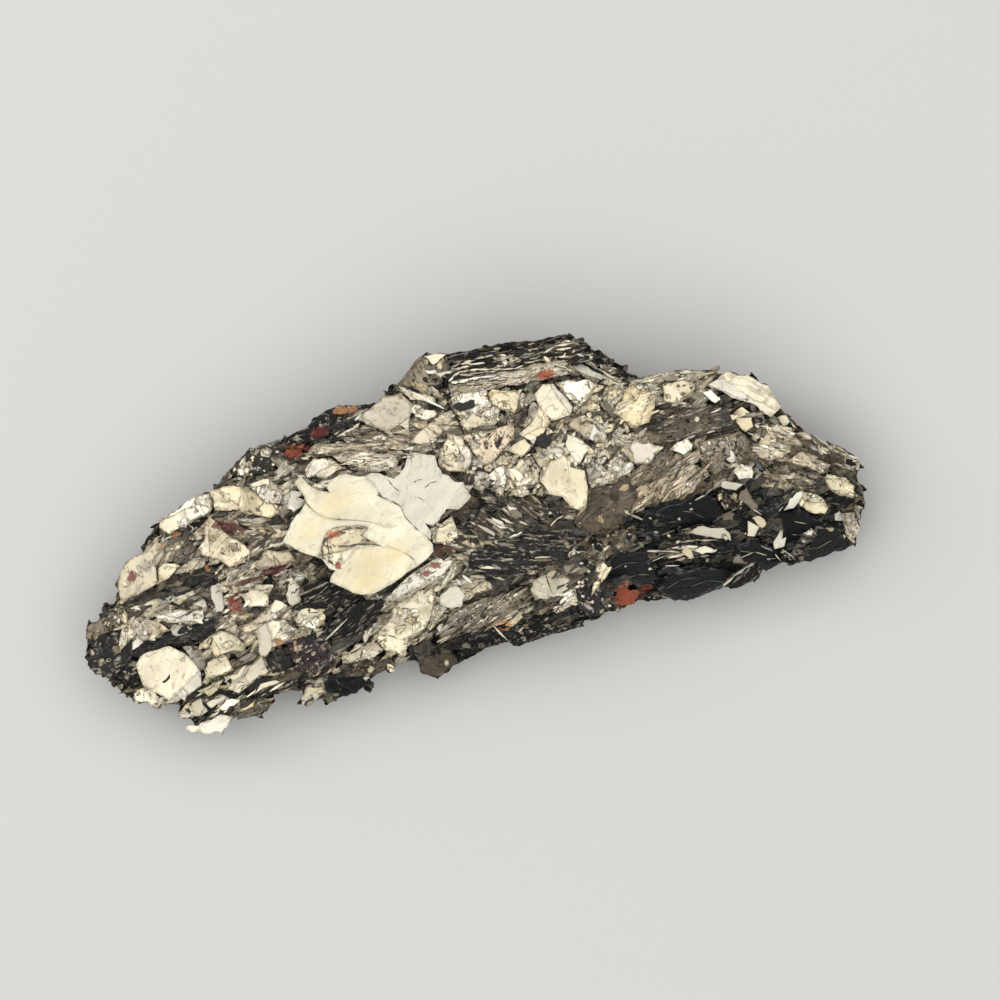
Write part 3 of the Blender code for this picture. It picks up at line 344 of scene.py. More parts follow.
MIDDLE = (
    ("cream", 0.15, None, 19.8, 10, 285, ((8.4,2.3), (9,3.2), (9.9,4), (11.3,4.2), (11.7,3.8), (12,2.8),
    (13,2.4), (12.9,0.6), (12.5,-0.8), (12,-1.7), (10.8,-0.9), (10.2,0.3), (8.9,0.9))),
    ("cream", 0.15, None, 20.4, 8, 300, ((11.8,5.4), (12.3,6.1), (13,5.6), (14.1,4.5), (13.3,3.8), (12.6,3),
    (12.2,3.3), (11.9,4.4))),
    ("bone", 0.25, None, 19.9, 8, 320, ((12.5,7.1), (13.4,7.6), (14,7.7), (15.2,7), (15.9,6), (16,5.2),
    (15.8,4.4), (14.8,4.8), (13.6,5.6), (13,6.4))),
    ("bone", 0.4, None, 18.6, 18, 215, ((3.2,3), (3.8,4.2), (5.3,4.9), (5.3,3.4), (4.4,1.8))),
    ("bright", 0.5, None, 19.2, 14, 260, ((5.6,3.8), (7.2,5), (8,3.6), (7.9,2.6), (6.2,2.4))),
    ("smoke", 0.7, -50, 17, 26, 285, ((0.5,0.8), (2.6,1.3), (5.4,1.6), (8.6,0.6), (8.2,-1.4), (5.4,-2.2),
    (1.4,-1.9))),
    ("black", 0.7, -20, 14.4, 14, 280, ((0.2,-2.4), (4,-2.6), (8.2,-2.2), (10.6,-3), (9.6,-5.6), (5,-6.2),
    (1,-5.6), (-0.5,-4.2))),
    ("bright", 0.3, None, 15.4, 24, 285, ((-9.4,-5.4), (-7.2,-4), (-6,-3.4), (-4.5,-2.9), (-3.2,-2.5),
    (-2.7,-3), (-1.9,-3.2), (-2.5,-3.9), (-3.3,-4.3), (-4.3,-4.8), (-6,-5.3), (-7.4,-6))),
    ("bright", 0.25, None, 12.2, 26, 290, ((-11.3,-8.7), (-9.2,-7.3), (-8.6,-6.1), (-4.5,-5), (-4.4,-6.4),
    (-6.3,-9.2), (-8.2,-9.8), (-8.6,-11.2), (-10.6,-10.3))),
    ("bright", 0.6, None, 10.4, 22, 280, ((-15.1,-9.9), (-13.2,-9), (-11.3,-9.4), (-10.7,-10.3), (-13,-10.8),
    (-15,-10.5))),
    ("white", 0.6, -60, 12.6, 20, 285, ((-4.2,-6.6), (-2.6,-5.3), (0.4,-5.2), (1.2,-6.6), (-1.8,-7.4),
    (-3.2,-8))),
    ("grey", 0.9, 20, 9.6, 32, 272, ((-5.2,-8.8), (-2.6,-7.9), (1,-7.8), (4.6,-7.4), (4.8,-9.2), (3,-10.4),
    (-1,-10.4), (-4.8,-10.8))),
    ("smoke", 0.3, None, 5.8, 34, 262, ((-7.9,-10.6), (-6.6,-10.4), (-4.4,-12), (-4,-13.3), (-6.5,-14.4),
    (-7.7,-13.2))),
    ("black", 0.5, None, 6.6, 38, 268, ((-2.8,-10.7), (0.4,-10.7), (1.2,-12.4), (-0.6,-12.5), (-2.8,-12.8))),
    ("black", 0.8, None, 6.2, 40, 272, ((1.6,-11.4), (3.6,-10.8), (6.6,-10.6), (8.9,-10.8), (9.2,-12.8),
    (5,-12.9), (1.8,-13))),
    ("cream", 0.2, None, 10.8, 26, 290, ((5,-7.8), (5.6,-7.3), (6.4,-6.7), (7.5,-6.5), (8.4,-7.2), (9,-8),
    (8.6,-8.9), (7,-9.4), (5.2,-9))),
)
EAST_CROWN = (
    ("brown", 0.3, None, 17, 22, 265, ((12.4,0.2), (17,0.4), (17.4,-1.6), (15.6,-3.6), (12.4,-4.2),
    (10.8,-2.6))),
    ("sand", 0.7, 30, 16.9, 14, 275, ((15.8,-2), (17.6,-0.7), (20.6,-0.2), (23.4,0.3), (25,-0.8),
    (22.8,-2.3), (18,-2.6))),
    ("pearl", 0.25, None, 18.2, 12, 230, ((16.8,3.4), (18.6,4.1), (21.1,2.6), (19.4,1.5), (17.6,2))),
    ("cream", 0.35, 15, 18.3, 8, 60, ((17.2,7.2), (18.6,9), (19.7,9.6), (21.8,7.5), (20.4,5.5), (18.6,5.4))),
    ("pearl", 0.5, None, 17, 12, 70, ((22.3,7.2), (22.6,8.8), (24.8,8.6), (26,8), (25,6.9), (23.4,6.5))),
    ("pearl", 0.9, 0, 15.2, 30, 85, ((18.8,9.8), (20.8,10), (25.2,9.6), (28.2,8.6), (26.2,8.2), (22.6,8.9),
    (20.4,8.9))),
    ("bright", 0.25, None, 16, 14, 60, ((26.2,7.1), (27.2,7.2), (28,6), (27.2,5.6))),
    ("white", 0.12, None, 14.4, 18, 40, ((27,7.7), (29.4,8.4), (31,7.5), (32.8,6), (33.6,3.7), (32.4,2.9),
    (30.4,5), (28.8,5.9))),
    ("cream", 0.1, None, 15.4, 16, 260, ((28.8,4.3), (29.8,4.6), (30.5,3.8), (30.3,2.6), (29.4,2.2),
    (28.9,3.2))),
    ("smoke", 0.5, 2, 16.4, 8, 265, ((19.8,5), (24.6,5.8), (28.4,4.9), (28.4,3.2), (24.6,2.8), (20.8,3.2))),
    ("bright", 0.2, None, 17.3, 10, 270, ((21.9,2.1), (22.6,2.8), (23.8,2.9), (24.1,2.2), (23.7,1.7),
    (23,1.5))),
    ("grey", 0.8, None, 15.4, 14, 285, ((24.6,2.2), (28.8,2.4), (29.6,1), (28.8,-0.9), (25.4,-1.2),
    (24.4,0.4))),
    ("white", 0.1, None, 14.6, 14, 290, ((27.4,-1.6), (28.2,-0.8), (29.2,-1.3), (28.9,-2.3), (27.8,-2.4))),
    ("pearl", 0.9, -30, 13.2, 14, 330, ((30.2,2.2), (32.4,2.2), (34.3,1.3), (33.4,-0.9), (31,-1.3),
    (29.8,0.3))),
)
EAST_FLANK = (
    ("glass", 0.1, None, 13.6, 42, 275, ((17.8,-3), (19.4,-2.6), (24.4,-3.2), (25.4,-4.8), (24.4,-5.6),
    (19.8,-5.2), (18.2,-4.6))),
    ("layered", 0.8, None, 13.4, 36, 300, ((25.3,-2.8), (27,-2.6), (28.4,-3.4), (28.8,-5), (26.8,-5.1),
    (25.6,-4.6))),
    ("glass", 0.1, None, 10.8, 46, 268, ((12.8,-7.2), (14.4,-6.6), (17,-7.2), (17.3,-9.8), (15.8,-10.4),
    (13.2,-9))),
    ("black", 0.6, -8, 12, 30, 280, ((20.6,-5.8), (22.6,-5.6), (25,-6.4), (25.6,-7.6), (24,-7.4),
    (21.4,-6.7))),
    ("layered", 0.7, -6, 10.4, 30, 280, ((17.4,-7.1), (20.6,-7.2), (24.2,-8), (24,-8.8), (21,-8.9),
    (18.6,-8))),
    ("layered", 0.6, None, 11.4, 28, 250, ((26.9,-7.8), (27.8,-6.6), (29.5,-6.8), (29,-7.7), (27.7,-8.3))),
    ("glass", 0.15, -10, 7.4, 44, 268, ((17.4,-10.8), (18.6,-9.9), (22.4,-10.1), (25,-11), (23.8,-12.3),
    (20,-12.8), (17.8,-12))),
    ("black", 0.6, 30, 7.4, 34, 300, ((23.8,-12.4), (24.8,-11.5), (27.4,-10.6), (28.4,-11.2), (27.4,-12.4),
    (25,-12.6))),
    ("glass", 0.15, None, 9.2, 42, 262, ((25.8,-8.8), (27.2,-8.4), (29.6,-9.8), (30.4,-11.2), (28.4,-11.8),
    (26.4,-10.2))),
    ("glass", 0.08, None, 8.8, 44, 280, ((31,-6.9), (33,-6.7), (34.3,-8), (36.4,-9.6), (37,-11.4),
    (34.6,-11.9), (30.6,-11.8), (30.4,-9.8))),
    ("pearl", 0.9, -60, 6.6, 34, 330, ((37.1,-8.3), (38.2,-8.1), (38.5,-9.8), (37.4,-11.4), (36.9,-10.2))),
    ("cream", 0.35, None, 11, 22, 290, ((33.1,-5.9), (33.6,-4.9), (34.5,-5.2), (35.6,-6.4), (35.9,-7.2),
    (35.3,-7.7), (34.4,-7.3), (33.3,-6.6))),
    ("bright", 0.4, -38, 9.8, 26, 320, ((36.1,-4.2), (36.8,-4), (38,-4.9), (38.9,-5.8), (38.6,-6.8),
    (37.4,-6.4), (36.4,-5.4))),
    ("pearl", 0.7, -38, 11.8, 18, 315, ((32.8,-1.6), (34.6,-1.2), (37,-3), (36.4,-3.8), (34,-2.6))),
    ("pearl", 0.8, -38, 9.6, 24, 330, ((36,-0.2), (38.8,-2), (40,-3.4), (39.7,-4.4), (37.2,-3.1),
    (36,-1.4))),
    ("black", 0.9, None, 10.6, 4, 342, ((9.4,-9), (11.8,-8.9), (12.2,-11.9), (10,-12), (9.2,-10.6))),
    ("black", 0.5, None, 8.4, 34, 275, ((12.2,-9.4), (13.4,-9.4), (15.4,-10.9), (14.6,-11.8), (12.8,-11.6))),
    ("grey", 0.8, None, 13.2, 30, 270, ((10.6,-5.8), (12.8,-4.6), (15.6,-4.4), (16.6,-5.4), (14.6,-6.4),
    (11.6,-6.9))),
)
PLATES = WEST_END + SOUTH_SLATS + WEST_MIDDLE + GREAT_PLATE + KNOB + MIDDLE + EAST_CROWN + EAST_FLANK
print(len(PLATES), "plates")

# %% [markdown]
# Many later steps ask the same two questions: how high is a plate's plane at some place, and which plate
# lies on top there? A ray against the tables answers both without any mesh.

# %% Ask the tables
def middle_of(points):
    return Vector((sum(p[0] for p in points), sum(p[1] for p in points))) / len(points)


def slope_of(dip, downhill):
    """How much the plane falls per millimetre along X and Y."""
    fall = math.tan(math.radians(dip))
    return Vector((math.cos(math.radians(downhill)), math.sin(math.radians(downhill)))) * fall


def plane_height(row, x, y):
    _, _, _, height, dip, downhill, points = row
    return height - slope_of(dip, downhill).dot(Vector((x, y)) - middle_of(points))


def inside(points, x, y):
    """True if the place lies inside the outline."""
    hit = False
    for (x0, y0), (x1, y1) in zip(points, points[1:] + points[:1]):
        if (y0 > y) != (y1 > y) and x < x0 + (y - y0) * (x1 - x0) / (y1 - y0):
            hit = not hit
    return hit


def area_of(points):
    sides = zip(points, points[1:] + points[:1])
    return abs(sum(x0 * y1 - x1 * y0 for (x0, y0), (x1, y1) in sides)) / 2


CLEAN = 0.2               # a plate less broken than this has hardly any flakes on it
BOXES = [(min(x for x, _ in row[6]), max(x for x, _ in row[6]),
          min(y for _, y in row[6]), max(y for _, y in row[6])) for row in PLATES]


def plate_over(x, y):
    """The highest plate at this place, or None."""
    best, top = None, -1.0
    for row, (west, east, south, north) in zip(PLATES, BOXES):
        if west <= x <= east and south <= y <= north and inside(row[6], x, y):
            height = plane_height(row, x, y)
            if height > top:
                best, top = row, height
    return best


print("the plates cover", round(sum(area_of(row[6]) for row in PLATES)), "square millimetres")


def is_clean(x, y):
    """True where a plate with hardly any flakes on it is on top."""
    row = plate_over(x, y)
    return row is not None and row[1] < CLEAN


# %% [markdown]
# Around the plates the rock is a mosaic of smaller leaves. No two places have the same mix of them, so the
# top is divided into regions as a geologist would sketch them: the finishes that occur there, the most
# common first, the direction in which the leaves lie (`None` where they lie any way), and the border.

# %% Sketch the regions
REGIONS = (
    ("black black smoke grey black smoke", None, ((-41,-8), (-41,0.5), (-35.3,1), (-34.6,-1), (-35.2,-4.5),
    (-35.6,-6), (-35.2,-8), (-36.5,-9.5), (-39,-9.5))),
    ("black black smoke", 5, ((-35,-3.4), (-27,-3), (-27.2,-4.9), (-31,-4.6), (-35,-4.9))),
    ("black smoke black grey", 0, ((-31.5,0.2), (-25,0.2), (-24.6,2.2), (-29,2.2), (-31.2,1.4))),
    ("pearl grey pearl white smoke", 12, ((-35.5,1), (-26,1), (-26,-3), (-35.5,-3.4))),
    ("black smoke grey white", 15, ((-30,5.4), (-24.6,6), (-24,7), (-29.8,6.6))),
    ("brown pearl white grey pearl", -15, ((-24.5,3.8), (-18,3.4), (-18,5.4), (-24.4,6.5))),
    ("pearl bone grey pearl smoke", 20, ((-36,0), (-17,0), (-15,6), (-17,10), (-24,10), (-34,5.5))),
    ("glass white white glass bright grey black", 22, ((-18,-1.8), (-14,-1.6), (-10.5,-4.4), (-3,-2),
    (-9.4,-5.4), (-11.6,-7.4), (-16,-7.8), (-17.5,-4.2))),
    ("pearl grey white smoke sand pearl", 10, ((-27,1), (-16,1), (-14,-2.2), (-17.5,-4.4), (-27,-4.4))),
    ("cream white pearl white cream", 25, ((-28.5,-4.2), (-22,-4.2), (-22,-9.4), (-28.5,-9.4))),
    ("white cream pearl cream", 22, ((-23,-4), (-15.5,-3.8), (-15.4,-6.5), (-23,-7.8))),
    ("black purple pink smoke pearl white pink", 20, ((-22.8,-7.6), (-15.4,-6.4), (-11.8,-6.4), (-12.4,-8.4),
    (-13,-9.4), (-16,-10.8), (-22.8,-10))),
    ("cream smoke pearl black gold black", 18, ((-33,-9.6), (-15,-9.4), (-9,-10), (-9,-15), (-33,-15))),
    ("black smoke pearl black grey white", 20, ((-22,9.4), (-16.6,9.6), (-13.8,10.4), (-8,11.8), (-6.4,13),
    (-8,15.2), (-22,13.5))),
    ("pearl white smoke grey pearl", -15, ((-17,6), (-14.4,5.6), (-7,5.4), (-3.6,5.4), (-1.6,8), (1,8.8),
    (1,12), (-7,12), (-13.8,10.4), (-16.6,9.6))),
    ("grey pearl smoke white", -40, ((-3.6,12), (1.6,11), (2.2,17.5), (-0.5,18), (-3.6,15.5))),
    ("black smoke black brown grey", -2, ((2.4,15.7), (15,15.2), (16,16.5), (8,17.4), (2.4,17.4))),
    ("bright black white pearl white smoke white", -3, ((1.6,13), (8,12.6), (18.8,10.2), (16.6,16),
    (1.6,17.2))),
    ("white cream pearl bright white cream", None, ((1.4,4.6), (1.4,13), (18.6,10.6), (17.5,6.4), (13,7.4),
    (9,5.4))),
    ("brown smoke pearl black purple pearl", None, ((1.2,2.6), (2.6,2.4), (4.4,3.2), (4.3,5.2), (3,5.6),
    (1.4,4.6))),
    ("smoke brown grey pearl", None, ((-1.4,3), (2.4,1.4), (3.2,5), (2.4,9.4), (0.4,10), (-1.4,8.4))),
    ("white pearl bright cream bright white", None, ((2.4,6), (2.4,1.2), (9,0.6), (13.1,0.4), (13,7.4),
    (9,5.4), (5,6.4))),
    ("black smoke white white brown pearl", -25, ((-4.8,1), (2,1.6), (9,0.8), (12,-2), (11,-5.6), (5,-6.4),
    (-0.4,-5.4), (-2.6,-2.4))),
    ("bright white bright ivory cream", 35, ((-9.8,-5.2), (-2.6,-2.4), (1.4,-5.4), (-2,-8.4), (-6.4,-10.4),
    (-11.6,-10.4), (-12.4,-8.6))),
    ("smoke grey brown pearl white smoke", 18, ((-4.8,-8), (-0.5,-5.2), (10.8,-5.4), (16.8,-4.6), (15,-7),
    (9.4,-9), (9.4,-10.6), (-5,-10.8))),
    ("black glass glass black smoke", 10, ((-9,-10.4), (9.4,-10.4), (9.4,-13.6), (-9,-15))),
    ("white cream white pearl white", None, ((12.8,7.6), (13.2,-0.4), (17.2,0.8), (20,3), (18,5.6), (22,7.6),
    (20,10.2), (17.2,10))),
    ("pearl white cream grey white", -5, ((18,9.9), (21,6.6), (27,6), (29.6,8.6), (25,10.2))),
    ("smoke brown grey pearl", 2, ((18,5.8), (20,2.6), (28.8,2.4), (29.4,5.2), (26,6.6))),
    ("grey sand pearl pearl grey", 25, ((15.6,1.6), (15.6,-2.8), (24.6,-2.8), (30.4,-2.4), (30,3),
    (20,2.8))),
    ("grey pearl smoke sand", 30, ((10.6,-2.2), (13,1), (17.4,0.8), (17.6,-2), (15.4,-4.4), (11,-4.6))),
    ("grey sand pearl pearl smoke", -32, ((29,-2.2), (29.4,3), (33.6,5), (37,0.4), (36.4,-3.6), (33,-5))),
    ("pearl grey smoke sand pearl", -38, ((35.4,4.2), (41,2), (41,-3), (41,-8), (38.8,-8.2), (36.4,-3.6))),
    ("grey pearl smoke", -60, ((37.2,-7.8), (39.5,-7.8), (39,-11), (37,-12))),
    ("glass glass black glass smoke", -8, ((16.8,-2.6), (25,-2.6), (33,-4.8), (37.4,-6), (38,-12.6),
    (17,-13.6), (16.6,-7))),
    ("glass black glass black", -10, ((9,-8.8), (17,-6.8), (17.2,-13.4), (9,-13.4))),
)
ELSEWHERE = ("black black smoke grey", 15, ())


def region_over(x, y):
    """The mix of finishes and the grain at this place."""
    names, grain, _ = next((region for region in REGIONS if inside(region[2], x, y)), ELSEWHERE)
    return names.split(), grain


print(len(REGIONS), "regions")

# %% [markdown]
# Some small features are sharp enough to be seen one by one: slats that lie edge-on, needles, chips of a
# single crystal, the pale veins on the glassy flank. Many of the small white grains and the blue-grey
# needles on the dark glassy parts are painted glints, where the glass reflects the light. Each has its
# finish and its outline; a needle has only its two ends, and a round grain its middle and radius.

# %% Tables of the small features
SMALL_PLATES = (
    ("white", ((-34.9,-3.4), (-34.2,-3.1), (-33.9,-3.7), (-34.5,-4.1), (-35.4,-4.3), (-35.9,-3.7))),
    ("white", ((-28,-1), (-26.8,-0.7), (-26.2,-1), (-26.4,-1.7), (-27.2,-1.9))),
    ("bright", ((-24.9,-9.7), (-23.9,-8.7), (-22.7,-8), (-22.5,-9.5), (-23.7,-9.8), (-24.7,-10.2))),
    ("bright", ((-26.6,-9.1), (-25.6,-9), (-24.4,-8.4), (-24.9,-9.1), (-26.1,-9.7))),
    ("black", ((-24.8,-10.4), (-23.8,-9.9), (-22.6,-9.9), (-22.4,-10.2), (-24,-11.1), (-24.8,-11))),
    ("bright", ((-24.5,-11.5), (-23.4,-10.8), (-22.2,-10.3), (-21.8,-10.7), (-23.5,-11.3))),
    ("black", ((-29.3,-10.8), (-27.6,-10.2), (-25.8,-11.1), (-26.1,-11.4), (-27.3,-11.1), (-27.7,-10.6))),
    ("white", ((-29.3,-11.2), (-28.4,-10.9), (-27.6,-10.8), (-27.3,-11), (-28.8,-11.7))),
    ("bright", ((-28.2,-11.8), (-27.1,-11.4), (-25.9,-11.6), (-26.7,-12.1), (-27.9,-12.2))),
    ("cream", ((-30.7,-10.6), (-29.8,-10.5), (-29.5,-11.6), (-30.2,-12), (-30.8,-11.4))),
    ("black", ((-33,-7.9), (-32.1,-7.4), (-32.2,-7.7), (-32.8,-8.2))),
    ("black", ((-20.3,9.8), (-19.1,9.7), (-17.6,9.1), (-18.4,9), (-19.8,9.1))),
    ("white", ((-19.8,9), (-17.7,9), (-17.6,8.5), (-19.2,8.6))),
    ("grey", ((4.9,0.3), (5.5,0.2), (5.9,-0.3), (5.8,-0.8), (5.2,-0.9), (4.8,-0.4))),
    ("white", ((3,0.1), (3.7,-0.6), (4.2,-1.5), (3.9,-1.5), (3.1,-0.7))),
    ("white", ((36.2,-7.8), (36.9,-7.6), (37.3,-8.2), (36.8,-8.8), (36.2,-8.5))),
    ("grey", ((25.2,-5.2), (26.2,-5), (26.8,-5.6), (26.2,-6.1), (25.4,-5.9))),
    ("pearl", ((25.4,-9.9), (26.3,-9.6), (27,-10.2), (26.6,-11), (25.6,-11.2), (25,-10.6))),
    ("pearl", ((-26.1,0.2), (-25.2,0.2), (-24.9,-0.6), (-25.5,-2.7), (-26.1,-2.6))),
    ("white", ((-23.2,-2.6), (-22.8,-2), (-22.3,-2.3), (-23,-2.7))),
    ("white", ((-20.6,-3.6), (-19.8,-2.7), (-18.8,-3.6), (-20.2,-4))),
    ("white", ((-16.6,6), (-15.7,7.3), (-14.9,7), (-14.9,5.9), (-16,5.4))),
    ("pearl", ((-22.2,-5), (-21.5,-4.8), (-21.2,-6), (-21.6,-7.4), (-22.2,-7.8), (-22.9,-7.7))),
    ("cream", ((-18.2,-11.7), (-17.5,-11.3), (-17,-12))),
    ("cream", ((-19.8,-12.8), (-19,-12.2), (-17.6,-12.4), (-19.6,-13))),
    ("white", ((0.3,17.4), (1,17.2), (2.3,16.8), (2,16.6), (1.5,16.3), (1,16.3), (0.7,16.8))),
    ("white", ((0,15.9), (0.9,15.8), (1.2,15.4), (0.2,15.5))),
    ("white", ((1.1,15.2), (2.5,15.2), (2.3,14.95), (1.3,14.75))),
    ("white", ((7,16.35), (7.7,16.3), (7.75,16), (7,16.1))),
    ("bright", ((13.4,13.5), (14.4,13.7), (15.3,12.6), (16.4,11.5), (17.5,10.6), (17,10.4), (16,11),
    (15,11.8), (14.2,12.7))),
    ("black", ((1.9,11.7), (2.6,12), (3.3,11.8), (4,11.7), (3.9,11), (3.2,10.85), (2.4,11))),
    ("black", ((8.95,6.2), (9.2,6.75), (9.75,6.9), (10.3,6.65), (10.5,6.1), (10.2,5.55), (9.7,5.35),
    (9.15,5.6))),
    ("black", ((5.9,10.1), (6.6,10.1), (6.9,9.8), (6.8,9.3), (6.5,9.7), (6.2,9.8))),
    ("grey", ((16,8.5), (16.8,8.6), (17.2,7.6), (17.7,6.5), (17,6.6), (16.3,7.4))),
    ("black", ((17.9,8.7), (18.4,9.5), (18.6,9.2), (18.3,8.8))),
    ("white", ((5.5,4.3), (6.3,4.2), (7,3), (6.4,2.6))),
    ("brown", ((-2.1,1.3), (-1.5,1.7), (-0.8,1.9), (-0.4,1.6), (-0.9,1.4), (-1.9,1.1))),
    ("white", ((4.7,0.8), (5.6,0.3), (5.6,0), (4.9,0.1))),
    ("white", ((-3.9,-6.3), (-3,-5.6), (-2,-5.9), (-1.5,-6.8), (-2,-7.7), (-3.2,-7.9), (-3.9,-7.2))),
    ("white", ((25.7,-2.3), (26.3,-2), (27.3,-2.6), (28,-3), (27.2,-3.3), (26.2,-2.9))),
    ("grey", ((27.6,-3.3), (28.3,-3.1), (28.5,-4.2), (28.9,-5), (29,-5.6), (28.2,-5.4), (27.8,-4.6),
    (27.2,-4.3))),
    ("cream", ((21.5,-6.2), (22.6,-5.8), (24.3,-6.3), (25.2,-6.7), (25.6,-7.3), (25.5,-7.9), (24.6,-7.5),
    (23.6,-7.2), (22.3,-6.7))),
    ("cream", ((20.4,-8), (20.9,-7.5), (21.4,-7.8), (21.5,-8.6), (20.9,-8.7))),
    ("cream", ((22,-8), (23,-8), (24.1,-8.5), (23.9,-8.8), (22.6,-8.5))),
    ("cream", ((27.1,-8), (27.5,-6.6), (28,-6.8), (28.5,-7.4), (27.9,-8.2))),
    ("cream", ((28,-6.4), (28.9,-6.3), (29.4,-7.1), (28.9,-7.4), (28.3,-6.9))),
    ("pearl", ((30.7,-7.9), (31.1,-7.9), (30.9,-9.2), (30.5,-10), (29.7,-9.9), (29.8,-9.2))),
    ("white", ((31.5,-6.3), (32.1,-5.5), (33,-4.8), (33.6,-4.9), (33.2,-5.7), (32.3,-6.5))),
    ("black", ((38.7,-2.9), (39.2,-3.1), (39.5,-3.7), (38.9,-3.8), (38.6,-3.4))),
    ("white", ((33,3), (34,2.8), (34.6,1.2), (33.2,1.8))),
    ("pearl", ((32,1.9), (32.8,2.1), (33.6,0.8))),
)
